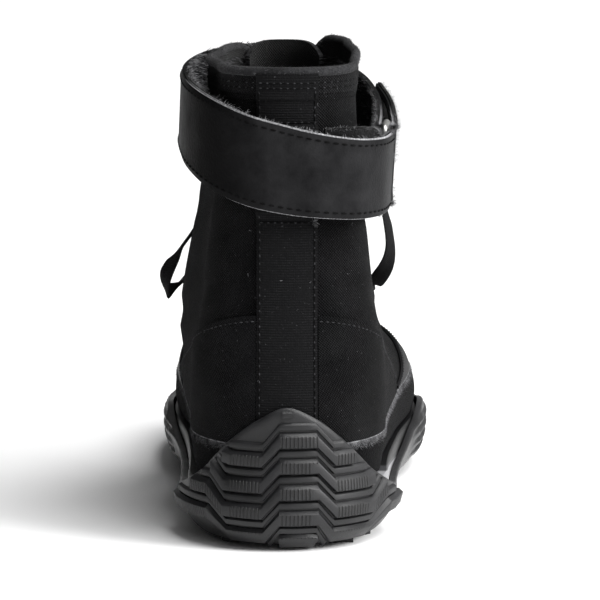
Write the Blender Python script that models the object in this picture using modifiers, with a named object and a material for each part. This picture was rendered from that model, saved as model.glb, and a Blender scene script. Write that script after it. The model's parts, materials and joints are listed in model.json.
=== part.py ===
"""A high-top sneaker for the right foot, as separate pieces.

The toe points to +Y, the outer side of the foot to +X, and +Z is up. Sizes are in
millimetres until a point is placed, and the finished scene is in metres.
"""

import math
from collections import namedtuple
from functools import lru_cache

import bmesh
import bpy
from mathutils import Vector

for old in list(bpy.data.objects):
    bpy.data.objects.remove(old, do_unlink=True)

MM = 0.001
GAP = 0.3
WELD = 0.00001

# The sizes that drive the last
LENGTH = 284.0
BALL_WIDTH = 98.0
COLLAR = 176.0
WALL = 2.0
HALF_BALL = BALL_WIDTH / 2

# The last, one row for each level, in percent: height of the collar's, back and front of
# the length, the rest of half the ball width. Out is the little toe's side.
Section = namedtuple("Section", "height back front heel waist_out waist_in ball_out ball_in tip")
LAST = (
    Section(9.0, 1.4, 98.2, 65, 76, 68, 94, 87, -18),
    Section(17.0, 0.4, 100.0, 70, 82, 78, 100, 94, -18),
    Section(24.0, 0.0, 97.9, 72, 82, 82, 94, 91, -18),
    Section(29.5, 0.0, 91.2, 72, 79, 84, 82, 85, -16),
    Section(35.0, 0.4, 78.2, 71, 76, 84, 70, 79, -14),
    Section(43.0, 1.1, 66.2, 69, 71, 86, 61, 76, -10),
    Section(52.0, 2.3, 57.7, 65, 65, 82, 55, 69, -8),
    Section(62.5, 3.3, 51.8, 61, 61, 75, 53, 63, -7),
    Section(71.5, 4.2, 47.9, 57, 57, 69, 51, 59, -6),
    Section(85.0, 4.8, 43.7, 53, 53, 63, 48, 55, -5),
    Section(100.0, 4.9, 41.2, 49, 51, 59, 45, 51, -4),
)

# Where heel, waist and ball lie along each level, and how square the toe's arc is
HEEL_PLACE = 0.16
WAIST_PLACE = 0.42
BALL_PLACE = 0.68
TOE_FULL = 2.2
# Shares of the way round one side: toe arc, straight side, heel arc
TOE_SHARE = 0.30
HEEL_SHARE = 0.70

# Toe spring: the sole rises from this place to the toe, and the rise fades with height
SPRING_FROM = 205.0
SPRING = 11.0
SPRING_FADES = 36.0

# Levels of the sole and the bands on it
LUG = 2.4
OUTSOLE_FLOOR = 7.7
MIDSOLE_LOW = OUTSOLE_FLOOR + GAP
MIDSOLE_FLOOR = 15.7
FEATHER = MIDSOLE_FLOOR + GAP
MIDSOLE_TOP = 22.5
BAND_LOW = MIDSOLE_TOP + 5 * GAP
BAND_TOP = 39.0
INSOLE_THICK = 3.5
BOWL = 18.0
WIDEST = 30.0

# How far out of the last's surface each layer lies
BAND_IN = 0.5
BAND_OUT = 1.6
TAPE_OUT = 1.6
PANEL_IN = 0.6
PANEL_OUT = 1.6
MIDSOLE_OUT = 2.3
OUTSOLE_IN = MIDSOLE_OUT + GAP
OUTSOLE_OUT = 5.3
HEEL_PEAK_OUT = 4.8

# Throat
THROAT = 69.0
THROAT_HALF = 12.0
HEM = 166.0
HEM_OUT = 0.7

# Back tape, its keeper, and the ankle strap
TAPE_WIDTH = 21.6
KEEPER_LOW = 121.0
KEEPER_HIGH = 157.0
KEEPER_OUT = 1.6
STRAP_WIDTH = 28.6
STRAP_THICK = 2.4
RING_WIRE = 2.6

# Laces and eyelets
PAIRS = 6
EYELET_FIRST = 78.0
EYELET_LAST = 137.0
EYELET_IN = 8.0
EYELET_HOLE = 3.0
LACE_WIDTH = 6.4
LACE_THICK = 1.3


def smooth(places, values, at, flat=False):
    """A curve through the values that never swings past them; flat levels both its ends."""
    if at <= places[0]:
        return values[0]
    if at >= places[-1]:
        return values[-1]
    steps = [b - a for a, b in zip(places, places[1:])]
    slopes = [(b - a) / step for a, b, step in zip(values, values[1:], steps)]
    leans = [0.0 if flat else slopes[0]]
    for before, after in zip(slopes, slopes[1:]):
        same_way = before * after > 0
        leans.append(2 * before * after / (before + after) if same_way else 0.0)
    leans.append(0.0 if flat else slopes[-1])
    i = max(k for k in range(len(steps)) if places[k] <= at)
    t = (at - places[i]) / steps[i]
    ends = values[i] * (1 + 2 * t) * (1 - t) ** 2 + values[i + 1] * t * t * (3 - 2 * t)
    bends = leans[i] * t * (1 - t) ** 2 - leans[i + 1] * t * t * (1 - t)
    return ends + bends * steps[i]


def ramp(at, start, end):
    """0 before start, 1 after end, and an even S between."""
    t = min(1.0, max(0.0, (at - start) / (end - start)))
    return t * t * (3 - 2 * t)


@lru_cache(maxsize=None)
def section_at(height):
    """The last's row at a height, in millimetres."""
    level = 100 * height / COLLAR
    levels = [row.height for row in LAST]
    units = dict.fromkeys(Section._fields, HALF_BALL / 100)
    units["height"] = COLLAR / 100
    units["back"] = LENGTH / 100
    units["front"] = LENGTH / 100
    columns = {}
    for name in Section._fields:
        values = [getattr(row, name) for row in LAST]
        columns[name] = units[name] * smooth(levels, values, level)
    return Section(**columns)


def plan(side, along, height):
    """A point of the last's outline at a height. Along is 0 at the toe and 1 at the heel."""
    if along < 0:
        side, along = -side, -along
    if along > 1:
        side, along = -side, 2 - along
    row = section_at(height)
    long = row.front - row.back
    heel_y = row.back + HEEL_PLACE * long
    waist_y = row.back + WAIST_PLACE * long
    ball_y = row.back + BALL_PLACE * long
    waist = row.waist_out if side > 0 else row.waist_in
    ball = row.ball_out if side > 0 else row.ball_in
    if along < TOE_SHARE:
        turn = math.pi / 2 * along / TOE_SHARE
        reach = math.cos(turn) ** (2 / TOE_FULL)
        x = row.tip * reach**2 + side * ball * math.sin(turn) ** (2 / TOE_FULL)
        return x, ball_y + (row.front - ball_y) * reach
    if along > HEEL_SHARE:
        turn = math.pi / 2 * (1 - along) / (1 - HEEL_SHARE)
        return side * row.heel * math.sin(turn), heel_y - (heel_y - row.back) * math.cos(turn)
    y = ball_y + (heel_y - ball_y) * (along - TOE_SHARE) / (HEEL_SHARE - TOE_SHARE)
    widths = (row.heel, waist, ball)
    return side * smooth((heel_y, waist_y, ball_y), widths, y, flat=True), y


def lift(y, height):
    """How far the toe spring raises a point."""
    rise = max(0.0, (y - SPRING_FROM) / (LENGTH - SPRING_FROM))
    return SPRING * rise * rise * max(0.0, 1 - height / SPRING_FADES)


def bare(side, along, height):
    """The last's surface, in millimetres."""
    x, y = plan(side, along, height)
    return Vector((x, y, height + lift(y, height)))


def outward(side, along, height):
    """The last's surface normal."""
    step = 0.004
    round_it = bare(side, along + step, height) - bare(side, along - step, height)
    up = bare(side, along, height + 0.4) - bare(side, along, height - 0.4)
    return side * up.cross(round_it).normalized()


def body(side, along, height, out=0.0):
    """A point so far out of the last's surface, with the hem's step at the collar."""
    hem = HEM_OUT if height > HEM + 0.01 else 0.0
    return bare(side, along, height) + outward(side, along, height) * (out + hem)


def throat_half(height):
    """Half the width of the throat at a height, 0 below it."""
    opened = ramp(height, THROAT - 1.0, THROAT + 8.0)
    return THROAT_HALF * opened if height > THROAT else 0.0


@lru_cache(maxsize=None)
def front_run(side, height):
    """Distances round the outline from the middle of the front, and their places along it."""
    places = [HEEL_SHARE * step / 80 for step in range(81)]
    points = [Vector(plan(side, place, height)) for place in places]
    run = [0.0]
    for one, other in zip(points, points[1:]):
        run.append(run[-1] + (other - one).length)
    return run, places


def front_along(side, height, across):
    """How far along the outline lies so far round from the middle of the throat."""
    return smooth(*front_run(side, height), across)


def front(across, height, out=0.0):
    """A point on the front, by its distance round from the middle of the throat."""
    side = 1 if across >= 0 else -1
    return body(side, front_along(side, height, abs(across)), height, out)


def back_along(across, height):
    """How far along the outline lies so far across from the middle of the heel."""
    turn = math.asin(min(1.0, abs(across) / section_at(height).heel))
    return 1 - (1 - HEEL_SHARE) * turn * 2 / math.pi


def back(across, height, out=0.0):
    """A point on the back, by its distance across from the middle of the heel."""
    side = 1 if across >= 0 else -1
    return body(side, back_along(across, height), height, out)


def round_the_foot(share):
    """The side and place along it, going from the toe down the inner side and back."""
    if share < 0.5:
        return -1, 2 * share
    return 1, 2 - 2 * share


# Scene helpers

shoe = bpy.data.collections.new("high_top_sneaker")
cutters = bpy.data.collections.new("cutters")
bpy.context.scene.collection.children.link(shoe)
bpy.context.scene.collection.children.link(cutters)


def material(name, colour, rough):
    made = bpy.data.materials.new(name)
    made.use_nodes = True
    surface = made.node_tree.nodes["Principled BSDF"]
    surface.inputs["Base Color"].default_value = (*colour, 1)
    surface.inputs["Roughness"].default_value = rough
    return made


RUBBER = material("rubber", (0.045, 0.045, 0.047), 0.6)
GREY_RUBBER = material("grey_rubber", (0.3, 0.3, 0.3), 0.35)
CANVAS = material("canvas", (0.012, 0.012, 0.013), 0.9)
SUEDE = material("suede", (0.012, 0.012, 0.012), 0.95)
LEATHER = material("leather", (0.015, 0.015, 0.016), 0.45)
WEBBING = material("webbing", (0.018, 0.018, 0.019), 0.85)
LACE = material("lace_cord", (0.012, 0.012, 0.012), 0.9)
FOOTBED = material("footbed", (0.02, 0.02, 0.02), 0.9)
METAL = material("metal", (0.1, 0.1, 0.1), 0.35)


def sheet(columns, rows, place):
    """A grid of faces moved onto a shape; points that meet are welded."""
    grid = bmesh.new()
    bmesh.ops.create_grid(grid, x_segments=columns, y_segments=rows, size=0.5)
    for point in grid.verts:
        point.co = place(point.co.x + 0.5, point.co.y + 0.5) * MM
    bmesh.ops.remove_doubles(grid, verts=grid.verts, dist=WELD)
    bmesh.ops.dissolve_degenerate(grid, dist=WELD, edges=grid.edges)
    return grid


def close(grid):
    """Caps a tube's open ends and turns its faces outwards."""
    rims = [edge for edge in grid.edges if edge.is_boundary]
    bmesh.ops.holes_fill(grid, edges=rims, sides=0)
    bmesh.ops.recalc_face_normals(grid, faces=grid.faces)
    return grid


def add(name, grid, stuff, where=shoe):
    """Makes an object of the faces."""
    mesh = bpy.data.meshes.new(name)
    grid.to_mesh(mesh)
    grid.free()
    made = bpy.data.objects.new(name, mesh)
    where.objects.link(made)
    made.data.materials.append(stuff)
    if where is cutters:
        made.hide_render = True
        made.display_type = "WIRE"
    return made


def thicken(made, thick, out):
    """Gives an open sheet a wall, outwards or inwards of it."""
    wall = made.modifiers.new("wall", "SOLIDIFY")
    wall.thickness = thick * MM
    wall.offset = 1 if out else -1
    wall.use_even_offset = True
    wall.use_quality_normals = True
    return made


def boolean(made, other, way):
    """Joins or cuts one object with another."""
    change = made.modifiers.new(other.name, "BOOLEAN")
    change.object = other
    change.operation = way
    change.solver = "EXACT"


def pick(values, share):
    """The entry at a share of the way through a list."""
    return values[round(share * (len(values) - 1))]


# Upper: one open sheet round the foot from the feather edge to the collar, with a wall

UPPER_LEVELS = (
    FEATHER, 23, 31, 38, 43.5, 48, 52, 56, 60, 64.5, THROAT, 70.5, 73, 77,
    88, 102, 118, 140, HEM, HEM + 0.4, COLLAR,
)
UPPER_COLUMNS = 42
# How far the collar's rim rises towards the front on the outer and the inner side
COLLAR_RISE = {1: 4.6, -1: 1.6}


def collar_rise(side, along):
    """How far the collar's rim stands over its height at the heel."""
    return COLLAR_RISE[side] * (1 - ramp(along, 0.25, 0.9))


def upper_place(share, level):
    height = pick(UPPER_LEVELS, level)
    side, along = round_the_foot(share)
    edge = front_along(side, height, throat_half(height))
    if along < TOE_SHARE:
        along = edge + (TOE_SHARE - edge) * along / TOE_SHARE
    place = body(side, along, height)
    if height == COLLAR:
        place.z += collar_rise(side, along)
    return place


upper = add("upper", sheet(UPPER_COLUMNS, len(UPPER_LEVELS) - 1, upper_place), CANVAS)
thicken(upper, WALL, out=False)

# Tongue: behind the throat, from under the vamp to just over the collar, with a round top

TONGUE_IN = WALL + 1.1
TONGUE_THICK = 2.0
TONGUE_LEVELS = (61, 64.5, THROAT, 73, 77, 88, 102, 118, 140, HEM, COLLAR + 4)
TONGUE_WIDER = 8.0
TONGUE_ROUND = 6.0


def tongue_place(share, level):
    height = pick(TONGUE_LEVELS, level)
    half = THROAT_HALF + TONGUE_WIDER
    across = 1 - 2 * share
    place = front(across * half, height, -TONGUE_IN)
    if height > COLLAR:
        place.z -= TONGUE_ROUND * across**4
    return place


tongue = add("tongue", sheet(6, len(TONGUE_LEVELS) - 1, tongue_place), CANVAS)
thicken(tongue, TONGUE_THICK, out=False)

# Sole: how high the outsole's edge stands, from the toe's middle round to the heel's

Edge = namedtuple("Edge", "along outer inner")
EDGE = (
    Edge(0.00, 34.0, 34.0),
    Edge(0.11, 28.0, 28.0),
    Edge(0.22, 21.0, 22.0),
    Edge(0.31, 26.0, 25.0),
    Edge(0.40, 21.0, 19.0),
    Edge(0.50, 15.5, 16.0),
    Edge(0.62, 15.5, 16.5),
    Edge(0.73, 19.0, 19.5),
    Edge(0.82, 27.5, 27.5),
    Edge(0.86, 34.5, 34.5),
    Edge(0.90, 42.0, 42.0),
    Edge(0.95, 50.0, 49.5),
    Edge(1.00, 54.0, 54.0),
)

# How far the sole's foot lies inside its widest line, by place along the shoe
Tuck = namedtuple("Tuck", "y inset flare")
TUCK = (
    Tuck(0, 11.5, 1.0), Tuck(45, 14.5, 1.8), Tuck(115, 18, 0.3), Tuck(185, 12, 0), Tuck(235, 13, 0),
    Tuck(284, 19, 0),
)


def edge_height(side, along):
    rows = [row.outer if side > 0 else row.inner for row in EDGE]
    return smooth([row.along for row in EDGE], rows, along, flat=True)


def tuck(y, height):
    """How far the rounded foot of the sole lies in from its widest line, less its flare."""
    down = min(1.0, max(0.0, 1 - height / BOWL))
    places = [row.y for row in TUCK]
    inset = smooth(places, [row.inset for row in TUCK], y)
    flare = smooth(places, [row.flare for row in TUCK], y)
    return inset * (1 - math.sqrt(1 - down * down)) - flare * (1 - ramp(height, 14, 34))


def sole(side, along, height, out):
    """A point of the sole's wall, so far out of the last."""
    level = max(height, WIDEST)
    x, y = plan(side, along, level)
    ahead = plan(side, along - 0.004, level)
    behind = plan(side, along + 0.004, level)
    across = Vector((ahead[1] - behind[1], behind[0] - ahead[0], 0)).normalized() * side
    place = Vector((x, y, 0)) + across * (out - tuck(y, height))
    place.z = height + lift(place.y, height)
    return place


def rubber_out(height):
    thin = ramp(height, WIDEST, 46)
    return OUTSOLE_OUT + (HEEL_PEAK_OUT - OUTSOLE_OUT) * thin


def keel(share, height, out):
    """A point on the sole's middle line, level with a place on its side."""
    side, along = round_the_foot(share)
    one, other = sole(side, along, height, out), sole(-side, along, height, out)
    middle = (one + other) / 2
    middle.z = height + lift(middle.y, height)
    return middle


SOLE_COLUMNS = 42
# Rows of the outsole: keel, outside from foot to edge, inside from edge to floor, keel
OUTSIDE = (0.0, 0.1, 0.25, 0.5, 0.78, 1.0)
INSIDE = (COLLAR, MIDSOLE_TOP + 5, MIDSOLE_TOP, BOWL, 12.0, OUTSOLE_FLOOR)
OUTSOLE_ROWS = len(OUTSIDE) + len(INSIDE) + 2


def outsole_place(share, level):
    row = round(level * (OUTSOLE_ROWS - 1))
    side, along = round_the_foot(share)
    top = edge_height(side, along)
    if row == 0:
        return keel(share, LUG, OUTSOLE_OUT)
    if row == OUTSOLE_ROWS - 1:
        return keel(share, OUTSOLE_FLOOR, OUTSOLE_IN)
    if row <= len(OUTSIDE):
        height = LUG + (top - LUG) * OUTSIDE[row - 1]
        return sole(side, along, height, rubber_out(height))
    height = min(top, INSIDE[row - 1 - len(OUTSIDE)])
    return sole(side, along, height, OUTSOLE_IN)


outsole = add("outsole", close(sheet(SOLE_COLUMNS, OUTSOLE_ROWS - 1, outsole_place)), RUBBER)

# Midsole: a cup round the upper's foot, with a floor under it
MIDSOLE_OUTSIDE = (MIDSOLE_LOW, 12.0, BOWL, MIDSOLE_TOP)
MIDSOLE_INSIDE = (MIDSOLE_TOP, 19.0, MIDSOLE_FLOOR)
MIDSOLE_ROWS = len(MIDSOLE_OUTSIDE) + len(MIDSOLE_INSIDE) + 2


def inner_keel(share, height, out):
    """A point on the upper's middle line, level with a place on its side."""
    side, along = round_the_foot(share)
    middle = (body(side, along, height, out) + body(-side, along, height, out)) / 2
    middle.z = height + lift(middle.y, height)
    return middle


def midsole_place(share, level):
    row = round(level * (MIDSOLE_ROWS - 1))
    side, along = round_the_foot(share)
    if row == 0:
        return keel(share, MIDSOLE_LOW, MIDSOLE_OUT)
    if row == MIDSOLE_ROWS - 1:
        return inner_keel(share, MIDSOLE_FLOOR, GAP)
    if row <= len(MIDSOLE_OUTSIDE):
        return sole(side, along, MIDSOLE_OUTSIDE[row - 1], MIDSOLE_OUT)
    height = MIDSOLE_INSIDE[row - 1 - len(MIDSOLE_OUTSIDE)]
    place = body(side, along, height, GAP)
    place.z = height + lift(place.y, height)
    return place


add("midsole", close(sheet(SOLE_COLUMNS, MIDSOLE_ROWS - 1, midsole_place)), GREY_RUBBER)

# Insole: a flat slab inside the upper
INSOLE_OUT = -WALL - 1.0


def insole_place(share, level):
    row = round(level * 3)
    height = FEATHER if row < 2 else FEATHER + INSOLE_THICK
    if row in (0, 3):
        return inner_keel(share, height, INSOLE_OUT)
    side, along = round_the_foot(share)
    place = body(side, along, height, INSOLE_OUT)
    place.z = height + lift(place.y, height)
    return place


add("insole", close(sheet(SOLE_COLUMNS, 3, insole_place)), FOOTBED)

# Lugs: zigzag bars up the back of the heel and across the bottom

WAVE = 37.7
WAVE_RISE = 7.3
WAVE_LEVEL = 13.0
WAVE_MIDDLE = 4.0
LUG_TALL = 5.6
LUG_OUT = 2.0
LUG_ROOT = 1.2
HEEL_ROWS = (9.4, 19.1, 28.8, 38.5)
HEEL_REACH = 39.5
BOTTOM_PITCH = 15.0
BOTTOM_TALL = 7.6
BOTTOM_FIRST = 23.0
BOTTOM_LAST = 262.0
ARCH_FROM = 92.0
ARCH_TO = 136.0


def wave(across):
    """How far the zigzag lies above or below its middle line."""
    from_crest = abs((across - WAVE_MIDDLE + WAVE / 2) % WAVE - WAVE / 2)
    slope = WAVE / 2 - WAVE_LEVEL
    share = min(1.0, max(0.0, (from_crest - WAVE_LEVEL / 2) / slope))
    return WAVE_RISE * (0.5 - share)


def zigzag_stops(low, high, halves):
    """Places across where a zigzag bar gets a section: its ends, corners and any halves."""
    stops = {low, high}
    for turn in range(-6, 7):
        crest = WAVE_MIDDLE + turn * WAVE / 2
        places = (crest - WAVE_LEVEL / 2, crest, crest + WAVE_LEVEL / 2)
        for corner in places if halves else places[::2]:
            if low + 1.5 < corner < high - 1.5:
                stops.add(corner)
    return sorted(stops)


def heel_along(across, height):
    half = section_at(max(height, WIDEST)).heel + OUTSOLE_OUT
    turn = math.asin(min(1.0, abs(across) / half))
    return 1 - (1 - HEEL_SHARE) * turn * 2 / math.pi


def heel_wall(across, height, out):
    """A point of the heel's rubber, by its distance across from the middle."""
    side = 1 if across >= 0 else -1
    return sole(side, heel_along(across, height), height, rubber_out(height) + out)


def heel_clear(across, row):
    """Whether the heel's rubber stands above a lug at that place."""
    top = row + wave(across) + LUG_TALL / 2
    side = 1 if across >= 0 else -1
    return edge_height(side, heel_along(across, top)) > top + 0.8


def heel_span(row):
    """How far a heel lug reaches to each side."""
    reach = [0.0, 0.0]
    for number, side in enumerate((-1, 1)):
        while reach[number] < HEEL_REACH and heel_clear(side * (reach[number] + 0.5), row):
            reach[number] += 0.5
    return -reach[0], reach[1]


FOOTLINE = {
    side: [sole(side, step / 80, LUG, OUTSOLE_OUT) for step in range(81)] for side in (1, -1)
}


def bottom_half(side, y):
    """Half the width of the sole's foot at a place along the shoe."""
    nearest = min(FOOTLINE[side], key=lambda point: abs(point.y - y))
    return abs(nearest.x)


def bar(stops, corner):
    """A closed bar with four edges; corner gives each edge's point at a stop."""

    def place(share, level):
        return corner(pick(stops, share), round(level * 4) % 4)

    return close(sheet(len(stops) - 1, 4, place))


def heel_bar(row):
    def corner(across, number):
        height = row + wave(across) + (-0.5, -0.5, 0.5, 0.5)[number] * LUG_TALL
        return heel_wall(across, height, (-LUG_ROOT, LUG_OUT, LUG_OUT, -LUG_ROOT)[number])

    return bar(zigzag_stops(*heel_span(row), halves=True), corner)


def bottom_bar(row):
    def corner(across, number):
        y = row + wave(across) + (-0.5, -0.5, 0.5, 0.5)[number] * BOTTOM_TALL
        height = (LUG + LUG_ROOT, 0, 0, LUG + LUG_ROOT)[number]
        return Vector((across, y, height + lift(y, 0)))

    low = -min(bottom_half(-1, row - WAVE_RISE), bottom_half(-1, row + WAVE_RISE)) + 1.5
    high = min(bottom_half(1, row - WAVE_RISE), bottom_half(1, row + WAVE_RISE)) - 1.5
    return bar(zigzag_stops(low, high, halves=False), corner)


def joined(shapes):
    """One mesh of several closed bars."""
    whole = bmesh.new()
    for shape in shapes:
        single = bpy.data.meshes.new("bar")
        shape.to_mesh(single)
        shape.free()
        whole.from_mesh(single)
        bpy.data.meshes.remove(single)
    return whole


bars = [heel_bar(row) for row in HEEL_ROWS]
bottom_count = int((BOTTOM_LAST - BOTTOM_FIRST) / BOTTOM_PITCH) + 1
for number in range(bottom_count):
    place_along = BOTTOM_FIRST + number * BOTTOM_PITCH
    if not ARCH_FROM < place_along < ARCH_TO:
        bars.append(bottom_bar(place_along))
lugs = add("lugs", joined(bars), RUBBER, cutters)
boolean(outsole, lugs, "UNION")

# Suede band round the foot, above the midsole

BAND_LEVELS = (BAND_LOW, 31, BAND_TOP)
BAND_CORNERS = (
    *[(height, BAND_OUT) for height in BAND_LEVELS],
    *[(height, BAND_IN) for height in reversed(BAND_LEVELS)],
)


def band_place(share, level):
    height, out = BAND_CORNERS[round(level * 6) % 6]
    return body(*round_the_foot(share), height, out)


add("rand_band", close(sheet(SOLE_COLUMNS, 6, band_place)), SUEDE)

# Heel counters: a panel each side of the back tape, with a round top line

PANEL_LOW = BAND_TOP + GAP
COUNTER_TOP = 86.5
COUNTER_ROUND = 1.5
COUNTER_END = 0.47
COUNTER_CUT = 0.97


def counter_place(side):
    def place(share, level):
        ahead = COUNTER_CUT * (share if side > 0 else 1 - share)
        arc = (1 - ahead**COUNTER_ROUND) ** (1 / COUNTER_ROUND)
        height = PANEL_LOW + (COUNTER_TOP - PANEL_LOW) * arc * level
        start = back_along(TAPE_WIDTH / 2 + GAP, height)
        return body(side, start + (COUNTER_END - start) * ahead, height, PANEL_IN)

    return place


for name, side in (("counter_outer", 1), ("counter_inner", -1)):
    thicken(add(name, sheet(12, 4, counter_place(side)), CANVAS), PANEL_OUT - PANEL_IN, out=True)

# Toe overlay: round the front of the foot, highest over the toe

TOE_END = 0.46
TOE_TOPS = ((0.0, 0.45, 0.75, 1.0), (59.0, 53.5, 46.5, 40.6))


def toe_place(share, level):
    way = 1 - 2 * share
    side = 1 if way >= 0 else -1
    top = smooth(*TOE_TOPS, abs(way), flat=True)
    height = PANEL_LOW + (top - PANEL_LOW) * level
    return body(side, abs(way) * TOE_END, height, PANEL_IN)


thicken(add("toe_overlay", sheet(20, 4, toe_place), LEATHER), PANEL_OUT - PANEL_IN, out=True)

# Eyestays beside the throat, and the holes for the eyelets

EYESTAY_WIDE = 17.0
EYESTAY_LEVELS = (71.5, 73, 77, 88, 102, 118, 140, HEM - 1)


def eyestay_place(side):
    def place(share, level):
        height = pick(EYESTAY_LEVELS, level)
        from_edge = EYESTAY_WIDE * ((1 - share) if side > 0 else share)
        return front(side * (throat_half(height) + 0.4 + from_edge), height, PANEL_IN)

    return place


def eyelet_levels():
    """Heights that space the eyelets evenly along the throat."""
    heights = [EYELET_FIRST + (EYELET_LAST - EYELET_FIRST) * step / 60 for step in range(61)]
    line = [front(THROAT_HALF + EYELET_IN, height) for height in heights]
    run = [0.0]
    for one, other in zip(line, line[1:]):
        run.append(run[-1] + (other - one).length)
    return [smooth(run, heights, run[-1] * step / (PAIRS - 1)) for step in range(PAIRS)]


def facing(side, height):
    """The middle and outward direction of an eyelet on the eyestay."""
    along = front_along(side, height, throat_half(height) + EYELET_IN)
    return body(side, along, height, PANEL_OUT + 2 * GAP), outward(side, along, height)


EYELETS = [(side, height) for height in eyelet_levels() for side in (1, -1)]
holes = bmesh.new()
for side, height in EYELETS:
    middle, out = facing(side, height)
    turned = out.to_track_quat("Z", "Y").to_matrix().to_4x4()
    turned.translation = middle * MM
    bmesh.ops.create_cone(
        holes, cap_ends=True, segments=10, radius1=EYELET_HOLE * MM, radius2=EYELET_HOLE * MM,
        depth=14 * MM, matrix=turned,
    )
punch = add("eyelet_holes", holes, CANVAS, cutters)

for name, side in (("eyestay_outer", 1), ("eyestay_inner", -1)):
    strip = add(name, sheet(4, len(EYESTAY_LEVELS) - 1, eyestay_place(side)), LEATHER)
    thicken(strip, PANEL_OUT - PANEL_IN, out=True)
    boolean(strip, punch, "DIFFERENCE")
boolean(upper, punch, "DIFFERENCE")

# Eyelets: a flange on the eyestay and a barrel through the wall; radius and height
EYELET_FORM = ((2.0, 0.9), (3.6, 0.9), (4.2, 0.0), (2.6, 0.0), (2.6, -3.3), (2.0, -3.3))


def eyelet_place(side, height):
    middle, out = facing(side, height)
    turned = out.to_track_quat("Z", "Y")

    def place(share, level):
        radius, high = EYELET_FORM[round(level * 6) % 6]
        angle = 2 * math.pi * share
        spoke = Vector((radius * math.cos(angle), radius * math.sin(angle), high))
        return middle + turned @ spoke

    return place


for number, (side, height) in enumerate(EYELETS):
    name = f"eyelet_{'outer' if side > 0 else 'inner'}_{number // 2 + 1}"
    add(name, close(sheet(8, 6, eyelet_place(side, height))), METAL)

# Back tape: up the back from behind the heel's rubber, standing off as a keeper

TAPE_LEVELS = (40, 52, 66, 82, 100, KEEPER_LOW, KEEPER_LOW + 4, 131, 147, KEEPER_HIGH - 4,
               KEEPER_HIGH, HEM, HEM + 0.4, COLLAR - 0.5)


def tape_place(share, level):
    height = pick(TAPE_LEVELS, level)
    up = ramp(height, KEEPER_LOW, KEEPER_LOW + 4)
    down = ramp(height, KEEPER_HIGH - 4, KEEPER_HIGH)
    return back((share - 0.5) * TAPE_WIDTH, height, GAP + KEEPER_OUT * (up - down))


tape = add("back_tape", sheet(6, len(TAPE_LEVELS) - 1, tape_place), WEBBING)
thicken(tape, TAPE_OUT - GAP, out=True)

# Ankle strap: seen from above it starts inside at the back, turns round the ring's rear
# bar, goes round the back, the inner side and the front, through the ring and forward again

# Where the strap slopes, it reaches further down than its width
Fold = namedtuple("Fold", "x y top lean drop", defaults=(STRAP_WIDTH,))
REAR_BAR = Fold(36.0, 44.0, 150.5, -1.8)
FRONT_BAR = Fold(37.0, 55.5, 151.5, -1.8)
TURN_RADIUS = RING_WIRE / 2 + GAP + STRAP_THICK / 2
STRAP_MIDDLE = Vector((0, 65, 0))


def fold_round(ring_bar, first, last):
    """Rows for the strap's turn round a bar, between two headings in degrees."""
    rows = []
    for step in range(7):
        angle = math.radians(first + (last - first) * step / 6)
        x = ring_bar.x + TURN_RADIUS * math.cos(angle)
        y = ring_bar.y + TURN_RADIUS * math.sin(angle)
        rows.append(ring_bar._replace(x=x, y=y))
    return rows


STRAP = (
    Fold(13.5, 8.6, 155.5, 0.0),
    Fold(23.4, 13.8, 155.5, -0.5),
    Fold(30.6, 28.0, 154.0, -1.0),
    *fold_round(REAR_BAR, 160, -20),
    Fold(34.8, 23.0, 150.5, -1.5),
    Fold(25.2, 9.4, 151.5, -0.5, 29.2),
    Fold(12.0, 4.9, 153.8, 0.0, 30.5),
    Fold(0.0, 5.8, 156.5, 0.0, 32.0),
    Fold(-14.0, 8.0, 160.3, 0.3, 33.0),
    Fold(-27.0, 18.0, 165.5, 0.5, 33.5),
    Fold(-35.3, 34.0, 169.3, 1.0, 31.5),
    Fold(-39.0, 55.0, 171.6, 1.0, 29.2),
    Fold(-38.8, 80.0, 173.8, 1.5),
    Fold(-33.0, 104.0, 175.5, 1.5),
    Fold(-18.5, 124.0, 177.0, 1.0),
    Fold(0.0, 131.0, 176.0, 1.0),
    Fold(16.0, 127.5, 172.0, 1.0),
    Fold(27.5, 114.0, 167.0, 0.0),
    Fold(33.6, 93.5, 161.0, -0.5),
    Fold(34.8, 73.0, 155.5, -1.5),
    *fold_round(FRONT_BAR, 180, 360),
    Fold(39.8, 73.0, 154.5, -1.5),
    Fold(38.2, 92.0, 159.0, -0.5),
    Fold(34.4, 107.5, 163.5, 0.0),
)


def rounded(stops, pieces):
    """Points on an even curve through the stops, a given number for each stretch."""
    ends = [2 * stops[0] - stops[1], *stops, 2 * stops[-1] - stops[-2]]
    points = []
    for a, b, c, d in zip(ends, ends[1:], ends[2:], ends[3:]):
        ab, bc, cd = [math.sqrt((q - p).length) for p, q in ((a, b), (b, c), (c, d))]
        lean_b = ((b - a) / ab - (c - a) / (ab + bc) + (c - b) / bc) * bc
        lean_c = ((c - b) / bc - (d - b) / (bc + cd) + (d - c) / cd) * bc
        for step in range(pieces):
            t = step / pieces
            ends_part = b * (1 + 2 * t) * (1 - t) ** 2 + c * t * t * (3 - 2 * t)
            points.append(ends_part + lean_b * t * (1 - t) ** 2 - lean_c * t * t * (1 - t))
    return [*points, stops[-1]]


def leaned(row, low):
    """A strap row's top point, or its low point, moved out or in by its lean."""
    point = Vector((row.x, row.y, row.top))
    if low:
        away = Vector((row.x, row.y, 0)) - STRAP_MIDDLE
        point += away.normalized() * row.lean - Vector((0, 0, row.drop))
    return point


STRAP_TOP = rounded([leaned(row, False) for row in STRAP], 2)
STRAP_FOOT = rounded([leaned(row, True) for row in STRAP], 2)


def strap_place(share, level):
    return pick(STRAP_TOP, share).lerp(pick(STRAP_FOOT, share), 1 - level)


strap = add("ankle_strap", sheet(len(STRAP_TOP) - 1, 1, strap_place), LEATHER)
thicken(strap, STRAP_THICK, out=True).modifiers["wall"].offset = 0


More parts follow.
